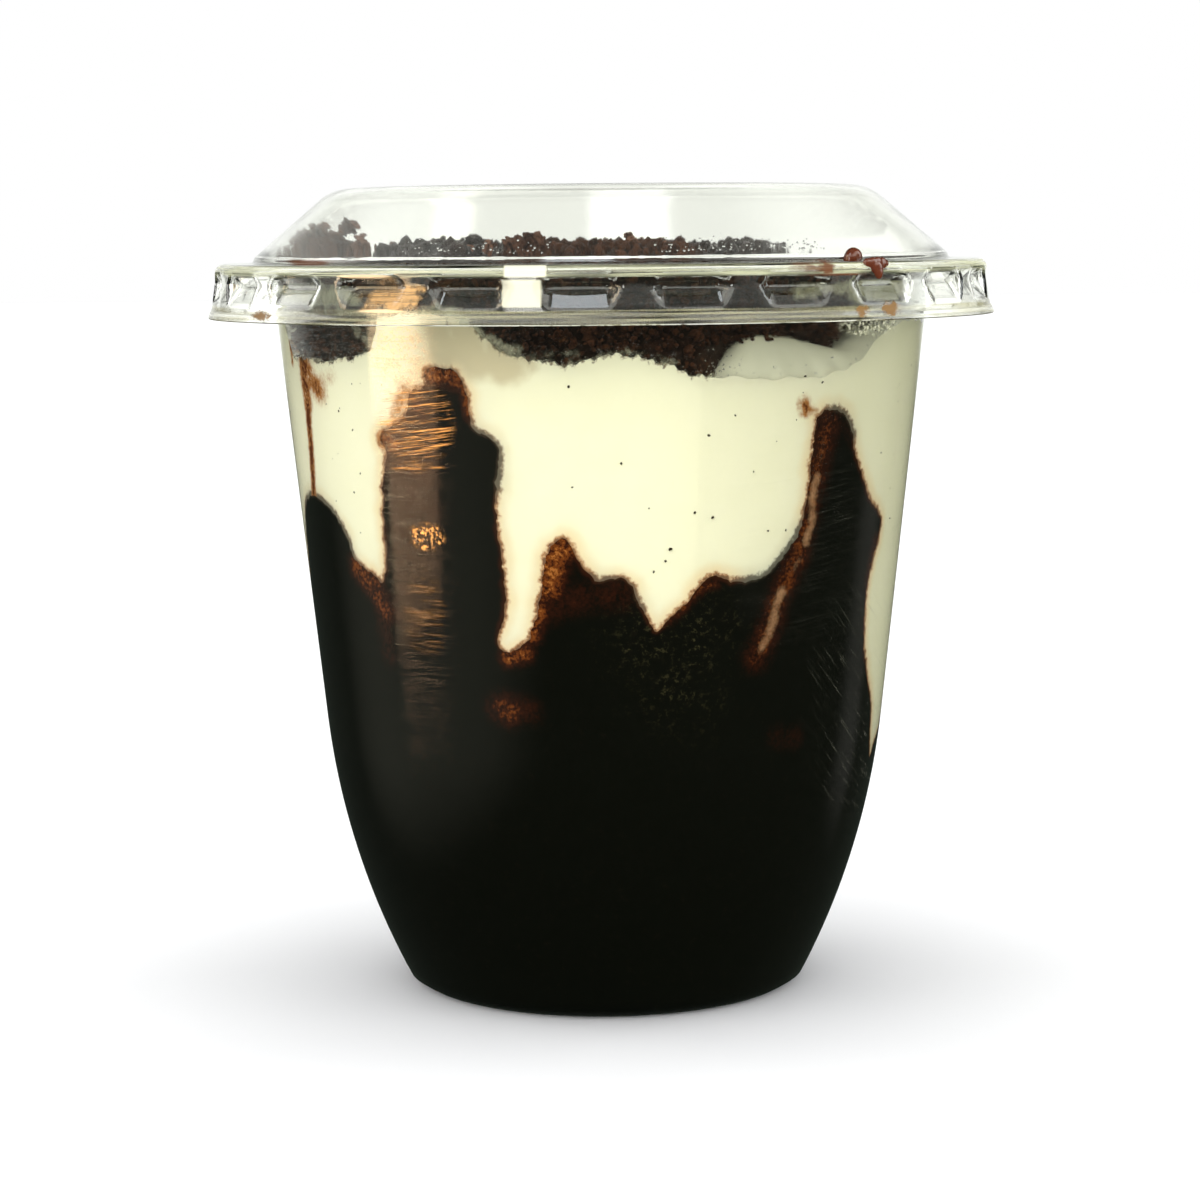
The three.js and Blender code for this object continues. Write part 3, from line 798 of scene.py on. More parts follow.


# Each mark: its line, its width and its strength. Most are stains, and one is painted shade.
WARM_IN_SAUCE = [
    ([(-10.0, 53.5), (-9.0, 57.5), (-6.8, 58.8)], 2.4, 1.0),
    ([(-11.5, 51), (-3, 52.8), (3, 53)], 2.6, 0.42), ([(-18, 45.4), (-14.5, 46)], 1.4, 1.0),
    ([(-13, 48), (-11.5, 51)], 1.4, 0.85), ([(-20.0, 39.6), (-18.0, 39.0)], 2.2, 0.8),
    ([(-17.0, 39.6), (-14.5, 39)], 2.2, 0.5), ([(-52, 55), (-47, 52.5), (-44.5, 50)], 2.2, 0.85),
    ([(-46, 48), (-45, 45)], 2.2, 0.4), ([(-30, 78.4), (-27, 78.3), (-25, 77.8)], 1.7, 1.0),
    ([(-33.6, 75.6), (-32.6, 74)], 1.7, 0.75), ([(-41.4, 70.8), (-38.6, 70.2)], 1.6, 1.0),
    ([(-38, 68.5), (-33, 66.5)], 2.6, 0.35), ([(-36, 64.5), (-31, 62.5)], 2.4, 0.26),
    ([(-23.4, 76.5), (-22.8, 73.5)], 0.9, 0.8), ([(-38.5, 71.5), (-36, 73.5)], 1.6, 0.7),
    ([(-43.2, 60), (-43.5, 56)], 0.9, 0.5), ([(43, 72.2), (41.5, 68.5), (40, 62), (37.5, 56)], 2.3, 0.7),
    ([(36.5, 55), (34, 51.6), (31.5, 47), (29.8, 45)], 2.3, 0.72), ([(43.5, 71.5), (42.2, 69)], 1.6, 0.35),
    ([(47.5, 71.5), (49.5, 69.5)], 1.2, 0.3), ([(61.5, 57), (60, 52)], 1.3, 0.6),
    ([(12, 50), (18, 53.6), (20.5, 54)], 1.0, 0.62), ([(35.5, 34.9), (40.5, 34.6)], 2.1, 0.3),
]
TAN_IN_SAUCE = [
    ([(42.2, 70.5), (41.2, 67.0)], 0.9, 0.4),
    ([(41.0, 66), (40.2, 63.8), (40.7, 61.2), (39.4, 58)], 0.95, 0.85),
    ([(38.9, 57), (36.6, 54.4)], 0.9, 0.45),
    ([(34.6, 52.6), (33.2, 50.4), (32.9, 48.4), (30.8, 46.0)], 1.0, 0.85), ([(-19.8, 39.6)], 1.2, 0.3),
]
GRAINS_IN_SAUCE = [
    ([(6, 48), (15, 46), (21, 49)], 4.5, 1.0), ([(10, 42), (17, 40)], 4.0, 0.8),
    ([(-40, 62), (-42, 48)], 2.5, 0.5),
]
COLD_EDGES = [
    ([(-77, 58), (-70, 62), (-60, 61), (-55, 57)], 3.0, 1.0), ([(28, 54), (33, 56), (37, 59)], 2.4, 1.0),
    ([(-22, 71.5), (-18, 70), (-18.4, 66)], 2.0, 0.8), ([(44, 73.5), (50, 71)], 1.8, 0.8),
    ([(0, 55), (7, 52)], 1.6, 0.5),
]
SMEARS_ON_CREAM = [
    ([(-64.4, 80), (-64.6, 74)], 1.5, 1.0), ([(-64.6, 74), (-65.8, 67.2), (-67.6, 61.5)], 0.95, 1.1),
    ([(-64.0, 79.6), (-61.5, 77.2), (-58.2, 75.8)], 1.9, 0.75), ([(-57, 77.4), (-54, 77.6)], 1.6, 0.35),
    ([(-70.2, 84), (-70.4, 79)], 0.6, 1.0), ([(36.6, 74.4), (37.2, 73.7)], 1.1, 0.9),
    ([(37.4, 74.2), (39.4, 73.4)], 0.7, 0.5), ([(-41.9, 71), (-41.5, 70)], 0.9, 0.75),
    ([(-38, 73.4), (-35.3, 76.5)], 1.2, 0.55), ([(-84, 79), (-82.5, 74), (-83.5, 69)], 1.1, 0.6),
    ([(-88, 76), (-86, 66)], 1.0, 0.4), ([(66, 75), (67.5, 66)], 0.6, 0.16),
    ([(133, 77), (134, 72), (133.2, 68)], 0.8, 0.9), ([(-150, 78), (-149, 73)], 0.9, 0.8),
    ([(194, 76), (196, 73)], 1.2, 0.5),
]
# Grey streaks near the crumbs, and painted shade along the crease at the foot of the mound (16 to 44
# degrees).
GREY_AND_CREASE_SHADE = [
    ([(-28.2, 85.5), (-27.0, 80.5)], 2.2, 1.0), ([(-23.5, 84.5), (-21, 79.5)], 2.5, 1.0),
    ([(-17.5, 81.3), (-16.5, 78.6)], 2.0, 0.95), ([(-12.6, 80.4), (-11.5, 79.2)], 1.2, 0.7),
    ([(-26, 81.5), (-20, 80.0), (-15, 79.2)], 2.6, 0.9),
    ([(16, 77.2), (24, 77.2), (34, 77.3), (44, 78.2)], 0.8, 0.28), ([(-62, 79.2), (-48, 80)], 0.7, 0.5),
]


def stained(places, stains):
    """The strongest stain at each place."""
    return np.max([strength * near_line(places, line, width) for line, width, strength in stains], 0)


for piece, name, stains in (
    (sauce, "warm", WARM_IN_SAUCE), (sauce, "tan", TAN_IN_SAUCE), (sauce, "grains", GRAINS_IN_SAUCE),
    (sauce, "cold", COLD_EDGES), (cream, "cold", COLD_EDGES), (cream, "smear", SMEARS_ON_CREAM),
    (cream, "grey", GREY_AND_CREASE_SHADE),
):
    mark(piece, name, stained(unrolled(piece), stains))
places = unrolled(cream)
below = cream_edge(places[:, 0] / UNROLL) - places[:, 1]
mark(cream, "soiled", np.exp(-((below / 0.75) ** 2)) * (1 - at_mound(places[:, 0] / UNROLL)))
print("marked", sauce.name, "and", cream.name)

# %% [markdown]
# ## Vanilla specks
# Ground vanilla pods show as tiny dark dots where they touch the wall. Each is a small pebble sunk into
# the ice cream. A few sit where the picture shows them, and the rest are strewn by seeded chance.


# %% Grains
def pebbles(seed, kinds, subdivisions, squash=0.75, rough=0.25, lumpy=0.3):
    """Rough little stones of radius 1, each a list of points and triangles."""
    rng = np.random.default_rng(seed)
    made = []
    for _ in range(kinds):
        bpy.ops.mesh.primitive_ico_sphere_add(subdivisions=subdivisions, radius=1.0)
        stone = bpy.context.object
        co = points_of(stone) * MM
        tris = np.array([p.vertices[:] for p in stone.data.polygons])
        push = 1 + rough * np.clip(rng.normal(0, 1, len(co)), -1.6, 1.6) / 1.6
        waves = sum(np.sin(co @ rng.normal(0, 2.8, 3) + rng.uniform(0, 6)) for _ in range(3))
        lumps = 1 + lumpy * waves / 1.5
        flattened = (1, rng.uniform(0.7, 1), squash * rng.uniform(0.8, 1.2))
        made.append((co * (push * lumps)[:, None] * flattened, tris))
        bpy.data.objects.remove(stone)
    return made


def strewn(name, stones, places, sizes, seed, tilt=1.0):
    """Joins copies of the stones at these places into one piece. Each copy is turned and sized on its own."""
    rng = np.random.default_rng(seed)
    verts, faces, shades, start = [], [], [], 0
    for place, size in zip(places, sizes):
        co, tris = stones[rng.integers(len(stones))]
        turn = (Matrix.Rotation(rng.uniform(0, 6.283), 3, "Z")
                @ Matrix.Rotation(rng.normal(0, tilt), 3, "X")
                @ Matrix.Rotation(rng.uniform(0, 6.283), 3, "Z"))
        verts.append(co @ np.array(turn).T * size + place)
        faces.append(tris + start)
        shades.append(np.full(len(co), rng.uniform(0.15, 1)))
        start += len(co)
    verts, faces = np.vstack(verts), np.vstack(faces)
    mesh = bpy.data.meshes.new(name)
    mesh.vertices.add(len(verts))
    mesh.vertices.foreach_set("co", (verts * MM).astype(np.float32).ravel())
    mesh.loops.add(faces.size)
    mesh.loops.foreach_set("vertex_index", faces.astype(np.int32).ravel())
    mesh.polygons.add(len(faces))
    mesh.polygons.foreach_set("loop_start", np.arange(0, faces.size, 3, dtype=np.int32))
    mesh.update(calc_edges=True)
    obj = bpy.data.objects.new(name, mesh)
    bpy.context.scene.collection.objects.link(obj)
    mark(obj, "shade", np.concatenate(shades))
    return obj


print("stones ready to strew")

# %% Specks
rng = np.random.default_rng(5)
speck_places = [
    (-5.2, 65.5), (3.2, 68.2), (18.2, 71.2), (11.9, 58.2), (11.1, 56.8), (9.0, 55.6), (16.2, 62.3),
    (19.5, 61.7), (-52.6, 73.6), (-50.5, 64.0), (-5.5, 77.0), (23, 73.4), (27, 66.8), (8.0, 63.0),
]
speck_sizes = [0.16, 0.2, 0.2, 0.22, 0.19, 0.17, 0.17, 0.18, 0.16, 0.15, 0.17, 0.14, 0.13, 0.12]
while len(speck_places) < 150:
    a, height = rng.uniform(-180, 180), rng.uniform(58, 78)
    clear_of_edge = edge_tree.find((a * UNROLL, height, 0))[2] > 1.5
    over_edge = height > np.interp(a, sauce_line[:, 0], sauce_line[:, 1])
    if clear_of_edge and over_edge and abs(a) > 28:
        speck_places.append((a, height))
        speck_sizes.append(rng.uniform(0.07, 0.17))
speck_angle, speck_z = np.array(speck_places).T
at_wall = around(speck_angle, wall_radius(speck_z) - WALL_TOUCH - 0.02, speck_z)
specks = strewn("vanilla_specks", pebbles(1, 4, 2), at_wall, speck_sizes, 2)
print(count(specks))

# %% [markdown]
# ## The crumb heap
# Loose cake crumbs fill the space up to the lid. A bumpy core carries them, and thousands of small rough
# stones lie on it: fine ones pressed against the wall, coarser ones on top, and a few torn chunks where
# the picture shows them. Each size is one joined piece.

# %% The heap's outline
HEAP_GAP, CORE_TOP_Z = 1.15, 89.6


def heap_top(angle, radius):
    """Height of the heap's core. It sags towards the wall and at the right."""
    x, y = radius * np.sin(np.radians(angle)), -radius * np.cos(np.radians(angle))
    sag = 2.1 * ease(26, 41, radius) + 1.2 * ease(17, 29, x) - 0.35 * between(-30, -25, -18, -11, x)
    return 91.85 - sag + 0.4 * wavy(x, y, 14, 21) + 0.3 * wavy(x, y, 5, 22)


def heap_gap(angle, z):
    """How far the heap stands in from the wall: well clear of the mound at the front right."""
    a = apart(angle, 0)
    free = between(13, 31, 68, 92, a)
    return HEAP_GAP + free * (4.6 + 1.2 * np.sin(a * 0.35)) * (1 - 0.85 * ease(84, 90, z))


print("heap's top in the middle:", round(float(heap_top(0, 0)), 1))

# %% Crumb core
core_rows = [74.0, 77.0, *np.linspace(78.5, CORE_TOP_Z, 26)]
core_profile = [(0, 74.0), (20, 74.0)] + [(float(wall_radius(z)) - 1.65, z) for z in core_rows]
core_top = core_profile[-1][0]
core_rings = np.concatenate([np.linspace(0.5, 12, 22), np.linspace(12.8, core_top - 1, 30)])
core_cap = [(core_top - d, CORE_TOP_Z) for d in core_rings] + [(0, CORE_TOP_Z)]
core = spun("crumb_core", core_profile + core_cap, 300)
co = points_of(core)
angle, radius, z = angle_of(co), np.hypot(co[:, 0], co[:, 1]), co[:, 2]
is_top = (z > CORE_TOP_Z - 0.05) & (radius < core_top - 0.2)
is_side = (z > 78) & ~is_top
new_r = radius - np.where(is_side, heap_gap(angle, z) - HEAP_GAP, 0)
new_r = np.where(is_top, radius * (core_top - heap_gap(angle, CORE_TOP_Z) + HEAP_GAP) / core_top, new_r)
new_z = np.where(is_top, heap_top(angle, new_r), z)
rough = 0.28 * wavy(angle * UNROLL, z, 1.6, 31) + 0.22 * wavy(angle * UNROLL, z, 0.9, 32)
co = around(angle, new_r + np.where(is_side, rough, 0), new_z)
bumps = 0.3 * wavy(co[:, 0], co[:, 1], 1.7, 33) + 0.22 * wavy(co[:, 0], co[:, 1], 0.95, 34)
co[:, 2] += np.where(is_top, bumps, 0)
move_points(core, co)
smooth(core, 60)
print(count(core))

# %% Loose crumbs
rng = np.random.default_rng(8)
AT_WALL, ON_TOP, COARSE_FROM = 6800, 3200, 0.48
wall_angle, lift = rng.uniform(-180, 180, AT_WALL), rng.uniform(0, 1, AT_WALL)
size = np.clip(rng.lognormal(math.log(0.31), 0.36, AT_WALL), 0.16, 0.8)
off_wall = heap_gap(wall_angle, 86) - HEAP_GAP > 0.5
low = np.where(off_wall, 81.5, cream_edge(wall_angle) + 0.35 * size)
height = low + (90.6 - low) * lift
inwards = size * rng.uniform(0.85, 1.25, AT_WALL)
wall_r = wall_radius(height) - SHEET - 0.12 - inwards - heap_gap(wall_angle, height) + HEAP_GAP
places = around(wall_angle, wall_r, height)
top_angle, top_share = rng.uniform(-180, 180, ON_TOP), np.sqrt(rng.uniform(0, 1, ON_TOP))
top_size = np.clip(rng.lognormal(math.log(0.46), 0.36, ON_TOP), 0.2, 1.2)
top_r = top_share * (core_top + 0.9 - heap_gap(top_angle, CORE_TOP_Z) + 0.35)
top_places = around(top_angle, top_r, heap_top(top_angle, top_r) + top_size * 0.35)
all_places, all_sizes = np.vstack([places, top_places]), np.concatenate([size, top_size])
small = all_sizes < COARSE_FROM
fine_kinds, coarse_kinds = pebbles(3, 10, 1, 0.8, 0.3, 0.2), pebbles(5, 14, 2, 0.75, 0.2, 0.34)
fine = strewn("fine_crumbs", fine_kinds, all_places[small], all_sizes[small], 4)
coarse = strewn("coarse_crumbs", coarse_kinds, all_places[~small], all_sizes[~small], 6)
print(count(fine), "|", count(coarse))

# %% Torn chunks
# The place and the radius of each: the tall cluster at the left, the pair left of the middle, and the rest.
torn_chunks = [
    (-36.7, 0, 92.9, 1.7), (-35.2, 1.5, 94.1, 1.2), (-34.6, 1, 95.4, 0.62), (-38.3, 1, 93.4, 0.8),
    (-37.6, 0, 94.4, 0.55), (-35.9, 0, 95.0, 0.5), (-34.3, -3, 92.7, 1.4), (-31.3, -2, 95.2, 0.85),
    (-30.6, -2, 95.4, 0.45), (-32.2, -2, 94.4, 0.55), (-32.9, -1, 93.2, 1.1), (-29.6, -4, 93.1, 0.95),
    (-30.3, -4, 92.1, 0.9), (-32.4, 3, 92.4, 1.4), (-39.6, 0, 92.2, 0.6), (-40.3, -1, 92.5, 0.35),
    (-38.2, -4, 92.0, 0.8), (-36.4, -2, 93.9, 0.7), (-33.7, 0, 94.2, 0.6), (-28.6, -5, 92.3, 0.5),
    (-9.6, -20, 92.8, 1.1), (-8.6, -20.4, 93.5, 0.6), (-7.2, -20.5, 92.9, 1.0), (-6.1, -20.6, 92.3, 0.8),
    (-8.2, -18, 92.2, 1.4), (-10.6, -20, 92.9, 0.7), (3.5, -16, 93.3, 0.5), (3.2, -16, 93.8, 0.4),
    (3.7, -15, 92.4, 0.9), (7.6, -12, 92.4, 0.8), (-13.2, -22, 92.2, 0.8), (-15.3, -21, 92.0, 0.7),
    (0, -22, 91.8, 1.0), (12, -20, 91.4, 1.1), (-14, -6, 91.8, 1.1), (9, 4, 91.9, 1.2),
    (-3, 14, 91.8, 1.3), (18, 10, 90.8, 1.3), (-12, 16, 91.6, 1.3), (2, 27, 91.3, 1.3),
    (24, -12, 90.5, 1.3), (16, 22, 91.1, 1.4), (-8, -11, 91.9, 1.1), (-27, 10, 91.6, 1.2),
    (30, 5, 89.8, 1.2), (-12, 30, 90.4, 1.4), (-28, 20, 91.0, 1.5), (22, 24, 90.2, 1.4),
    (-27.4, -9, 91.9, 0.6), (-25.8, -9, 91.8, 0.5), (-24.2, -10, 91.6, 0.55), (-20.5, -12, 91.4, 0.6),
    (-17.8, -14, 91.6, 0.7),
]
torn_chunks = np.array(torn_chunks)
chunk_kinds = pebbles(9, 9, 4, 0.9, 0.10, 0.34)
chunks = strewn("cake_chunks", chunk_kinds, torn_chunks[:, :3], torn_chunks[:, 3], 10, tilt=0.5)
co = points_of(chunks)
x, y, z = co.T
torn = 0.26 * wavy(x + z, y - z, 1.1, 41) + 0.17 * wavy(x - z, y, 0.5, 42)
normals = np.empty(len(co) * 3, np.float32)
chunks.data.vertices.foreach_get("normal", normals)
move_points(chunks, co + normals.reshape(-1, 3) * torn[:, None])
smooth(chunks, 50)
print(count(chunks))

# %% [markdown]
# ## Haze, dew and drops
# A thin film of ice cream clings to the wall above its edge, so the crumbs fade into it instead of ending
# at a line. It is a closed ring close to the plastic, and its material decides where it covers. Dew sits
# along the same edge and at the foot of the dome. On the lid lie a few drops of sauce, melted together
# from balls.

# %% Cream film
film_rows = np.linspace(76.5, 88.6, 36)
film_outside = [(float(wall_radius(z)) - SHEET - 0.02, z) for z in film_rows]
film_inside = [(r - 0.07, z) for r, z in film_outside]
haze_ring = spun("cream_film", film_outside + film_inside[::-1], 480, closed=True)
HAZE = [
    ([(-31, 85.6), (-25, 85.2), (-20, 82.9), (-14, 80.9)], 1.0, 0.45),
    ([(-12, 80.6), (-4, 80.8)], 0.9, 0.2), ([(4, 80.9), (12, 79.7)], 0.8, 0.25),
    ([(-46, 83.6), (-42.5, 81.8)], 1.2, 0.3), ([(-78, 87.2), (-58, 87.4), (-46, 87.0)], 1.9, 0.75),
    ([(34, 87.4), (44, 87.6)], 1.5, 0.4), ([(47, 87.6), (58, 87.2), (84, 86.6)], 1.7, 0.95),
]
places = unrolled(haze_ring)
angle = places[:, 0] / UNROLL
lift = np.maximum(places[:, 1] - cream_edge(angle), 0)
a = apart(angle, 0)
off_mound = 1 - between(18, 26, 66, 82, a)
haze = 0.3 * np.exp(-((lift / (0.5 + 0.22 * np.sin(a * 0.7))) ** 2)) * off_mound
mark(haze_ring, "haze", np.maximum(haze, stained(places, HAZE)))
print(count(haze_ring))

# %% Dew
rng = np.random.default_rng(15)
dew_spread = ((-66, 24, 420), (-180, 180, 240), (54, 78, 110))
dew_angle = np.concatenate([rng.uniform(*part) for part in dew_spread])
dew_size = np.clip(rng.lognormal(math.log(0.1), 0.35, len(dew_angle)), 0.05, 0.26)
dew_z = cream_edge(dew_angle) + rng.gamma(1.6, 0.8, len(dew_angle)) - 0.1
dew_z[-110:] = rng.uniform(81.6, 84.4, 110)
dew_places = [around(dew_angle, wall_radius(dew_z) - SHEET - 0.75 * dew_size, dew_z)]
foot_spread = ((8, 38, 90), (-34, -8, 50), (60, 300, 110))
foot_angle = np.concatenate([rng.uniform(*part) for part in foot_spread])
foot_z = 91.9 + rng.gamma(1.4, 0.4, len(foot_angle))
foot_size = np.clip(rng.lognormal(math.log(0.11), 0.3, len(foot_angle)), 0.06, 0.22)
under_dome = DOME_FOOT_RADIUS - (foot_z - DOME_FOOT_Z) / math.tan(DOME_SLOPE) - SHEET / math.sin(DOME_SLOPE)
dew_places.append(around(foot_angle, under_dome - 1.15 * foot_size, foot_z))
dew_sizes = np.concatenate([dew_size, foot_size])
dew = strewn("dew", pebbles(21, 3, 2, 0.9, 0.0, 0.06), np.vstack(dew_places), dew_sizes, 22)
smooth(dew, 180)
print(count(dew))


# %% Drops on the lid
def melted(name, balls, voxel=0.11):
    """One drop from balls of (angle, distance from the axis, z, radius, thickness)."""
    parts = []
    for angle, distance, height, size, thick in balls:
        bpy.ops.mesh.primitive_ico_sphere_add(subdivisions=3, radius=MM)
        ball = bpy.context.object
        out = Matrix.Translation((0, -distance * MM, height * MM)) @ Matrix.Diagonal((size, thick, size, 1))
        ball.data.transform(Matrix.Rotation(math.radians(angle), 4, "Z") @ out)
        parts.append(ball)
    only(parts[0])
    for ball in parts:
        ball.select_set(True)
    bpy.ops.object.join()
    drop = start_piece(name)
    apply_modifier(drop, "REMESH", mode="VOXEL", voxel_size=voxel * MM)
    apply_modifier(drop, "SMOOTH", factor=0.5, iterations=5)
    return smooth(drop, 180)


drips = [
    (39.5, 47.5, 90.5, 0.65, 0.45), (40.4, 47.6, 90.4, 0.85, 0.5), (41.3, 47.6, 90.4, 0.9, 0.5),
    (42.3, 47.55, 90.45, 0.78, 0.45), (43.0, 47.5, 90.5, 0.5, 0.4), (41.0, 47.95, 89.95, 0.85, 0.4),
    (41.1, 48.02, 89.5, 0.7, 0.35), (41.1, 48.05, 89.15, 0.48, 0.3),
]
drops = melted("sauce_drops", [(40.7, 44.3, 91.25, 1.1, 1.0), (40.2, 44.4, 91.0, 1.05, 0.9)] + drips)
print(count(drops))

# %% [markdown]
# ## Clear plastic
# The sheet is a solid half a millimetre thick, so the light bends on its way in and out as in the real
# one, and the rim and the lugs draw their own bright and dark lines. Shadow rays go straight through,
# because lamps would otherwise not reach the food. Fine scratches run round the wall as a faint relief,
# and thin matte veils paint their glints where they catch the light: painted highlights on the plastic.


# %% Plastic
def clear_plastic(name, tint, roughness):
    finish = Finish(name, Base_Color=(*tint, 1), Roughness=roughness, IOR=1.5, Transmission_Weight=1.0)
    finish.let_shadows_through((0.9, 0.91, 0.89, 1))
    return finish


def zone(x, z, at_x, at_z, wide, tall, ragged=None):
    """1 in an oval patch and 0 outside, in millimetres from the front. A noise makes its edge ragged."""
    inside = 1 - ((x - at_x * MM) / (wide * MM)) ** 2.0 - ((z - at_z * MM) / (tall * MM)) ** 2.0
    if ragged:
        return (inside + (ragged - 0.5) * 4.0).above(0.0, 0.9)
    return inside.above(0.0, 0.7)


def only_front(y):
    """1 on the front half of the tub and 0 behind."""
    return 1 - y.above(-0.012, -0.002)


PLASTIC_TINT = (0.985, 0.99, 0.975)
cup_plastic = clear_plastic("cup_plastic", PLASTIC_TINT, 0.03)
f = cup_plastic
x, y, z = f.axes()
front = only_front(y)
waves = f.noise(90, 2.0, 0.5)
level = f.noise(1.0, 5.0, 0.75, f.stretched(150, 150, 6000)).above(0.54, 0.62)
leaning = f.node("ShaderNodeCombineXYZ", X=x * 130, Y=y * 130, Z=(z - x * 0.15) * 6000)
slanted = f.noise(1.0, 5.0, 0.75, leaning).above(0.53, 0.6)
steep = f.node("ShaderNodeCombineXYZ", X=x * 130, Y=y * 130, Z=(z + x * 1.6) * 2600)
diagonal = f.noise(1.0, 5.0, 0.75, steep).above(0.56, 0.68)
crackle = f.noise(1900, 4.0, 0.75).above(0.5, 0.6)


def strongest(patches):
    """The strongest of several scratched patches: each is a pattern, an oval and a strength."""
    parts = [pattern * zone(x, z, *oval) * strength for pattern, oval, strength in patches]
    best = parts[0]
    for part in parts[1:]:
        best = best.biggest(part)
    return best


# Painted highlight: gold glints where the scratches and a scuff on the left catch the warm window.
painted_gold_glints = strongest([
    (slanted, (-21.6, 72.6, 5.2, 5.6), 0.95), (level, (-21.8, 67.5, 4.0, 0.8), 1.0),
    (crackle, (-20.5, 59.3, 2.5, 2.0), 1.0), (level, (-21.0, 50.0, 3.0, 6.5), 0.2),
    (level, (-23.0, 79.5, 4.0, 5.5), 0.35), (crackle, (-23.0, 80.5, 4.0, 4.5), 0.3),
])
# Painted highlight: pale glints of fine scratches on the right side of the wall.
pale = strongest([(diagonal, (31.0, 38.0, 8.0, 17.0), 0.14), (slanted, (25.0, 62.0, 14.0, 20.0), 0.02)])
f.bump(waves * 0.15 + level * 0.005 + slanted * 0.003, 1.0, 0.0002)
# Painted gold glints of the scratches and the scuff.
f.veil(painted_gold_glints * front * 0.95, color(255, 176, 96))
# Painted pale glints of the scratches on the right.
f.veil(pale * front, color(150, 150, 138))
# Painted highlight: pale speckled glints, as dew would give, high on the wall at the right.
f.veil(crackle * zone(x, z, 31.5, 83.2, 4.6, 1.5) * front * 0.5, color(222, 222, 200))
f.on(cup)
print("scratched:", cup.name)

# %% [markdown]
# ## Marks on the lid
# The pressed skirt catches soft light in fine upright lines, and a little sauce and cream has dried on
# it. The pale and warm veils paint that light as highlights and reflections, and the brown ones are the
# dried sauce and cream. Each mark is a matte veil on the plastic, kept to its place by an oval and to the
# skirt by its radius.

# %% Lid plastic
lid_plastic = clear_plastic("lid_plastic", PLASTIC_TINT, 0.03)
f = lid_plastic
x, y, z = f.axes()
front = only_front(y)
f.bump(f.noise(90, 2.0, 0.5) * 0.4 + f.noise(700, 2.0, 0.5) * 0.008, 0.2, 0.0002)
out = (x * x + y * y) ** 0.5
lines, cloud = f.noise(1.0, 4.0, 0.7, f.stretched(60, 60, 5200)), f.noise(500, 3.0, 0.7)
skirt = out.above(0.0465, 0.0470)
# Painted sheen: pale upright lines on the skirt's upper band, where the skirt mirrors soft light.
band = z.between(0.0893, 0.0896, 0.0905, 0.0909) * skirt
f.veil(band * lines.above(0.40, 0.62) * 0.58, color(190, 192, 166))
# Painted sheen in the same upright lines on the skirt's lip.
lip = (1 - z.above(0.0856, 0.0859)) * skirt
f.veil(lip * lines.above(0.42, 0.66) * 0.32, color(180, 176, 142))
# Painted highlight: a pale patch on the skirt between two lugs at the front.
upper = x.between(-0.0108, -0.0105, -0.0062, -0.0058) * z.between(0.0893, 0.0896, 0.0906, 0.0909)
lower = x.between(-0.0110, -0.0107, -0.0068, -0.0064) * z.between(0.0860, 0.0863, 0.0890, 0.0893)
painted_sheen_between_lugs = upper.biggest(lower * 0.8)
f.veil(painted_sheen_between_lugs * front * skirt * 0.8, color(222, 220, 202))
# Painted reflection of the warm light on the skirt, in upright lines.
painted_warm_reflection = zone(x, z, -23.2, 87.2, 4.0, 2.0, cloud) * lines.above(0.3, 0.6) * 0.6
f.veil(painted_warm_reflection * front * skirt, color(222, 178, 124))
glint = (zone(x, z, -26.6, 89.6, 3.6, 0.22) * 0.9).biggest(zone(x, z, -24.5, 85.7, 3.2, 0.2) * 0.6)
f.veil(glint * front * skirt, color(255, 222, 180))
spill = zone(x, z, 23.7, 90.15, 3.4, 0.62, cloud) * x.above(0.0195, 0.0245) * 0.75
spill = spill.biggest(zone(x, z, 25.5, 90.15, 1.1, 0.75, cloud) * 0.9)
spill = spill.biggest(zone(x, z, 26.5, 89.35, 4.6, 0.14) * 0.7)
spill = spill.biggest(zone(x, z, -34.0, 91.05, 3.2, 0.3) * 0.75)
f.veil(spill * front, color(92, 58, 40))
fine_cloud = f.noise(1100, 4.0, 0.75)
dabs = zone(x, z, 29.5, 85.2, 0.85, 0.8, fine_cloud).biggest(zone(x, z, 33.0, 85.35, 1.3, 0.9, fine_cloud))
dabs = dabs.biggest(zone(x, z, -39.5, 84.95, 1.4, 0.6, fine_cloud))
f.veil(dabs * front * 0.9, color(118, 90, 58))
f.on(lid)
print("marked:", lid.name)

# %% [markdown]
# ## Food finishes
# The sauce is almost black where it is thick, and warm brown in a ragged band along its edge. The ice
# cream is ivory and lets some light in. Near the sauce it darkens, because the dark shows through it.

# %% Sauce finish
sauce_finish = Finish("chocolate", Roughness=0.5, Specular_IOR_Level=0.06)
f = sauce_finish
cloud, grain, slow = f.noise(420, 3.0, 0.6), f.noise(2300, 3.0, 0.65), f.noise(75, 2.0, 0.5)
from_edge, cold, light_streak = f.attribute("from_edge"), f.attribute("cold"), f.attribute("tan")
depth = from_edge + (cloud - 0.5) * 0.9
fringe = (1 - (depth / (0.25 + slow * 1.0)).above(0.0, 1.0)) * (0.15 + slow * 0.6) * (1 - cold * 0.8)
warm = f.attribute("warm") * (0.9 + (cloud - 0.5) * 1.5 + (grain - 0.5) * 2.6)
film = fringe.biggest(warm)
dark = f.mix(f.noise(900, 4.0, 0.7).above(0.55, 0.8) * 0.5, color(8, 9, 5), color(26, 22, 15))
blur = 1 - (from_edge + (cloud - 0.5) * 0.3).above(-0.12, 0.42)
body_color = f.mix(blur * 0.9, dark, f.mix(cold, color(92, 54, 33), color(76, 72, 62)))
body_color = f.mix(film.above(0.05, 0.6), body_color, color(48, 21, 10))
body_color = f.mix(film.above(0.5, 1.0), body_color, color(122, 64, 26))
body_color = f.mix(warm.above(1.0, 1.35), body_color, color(186, 118, 56))
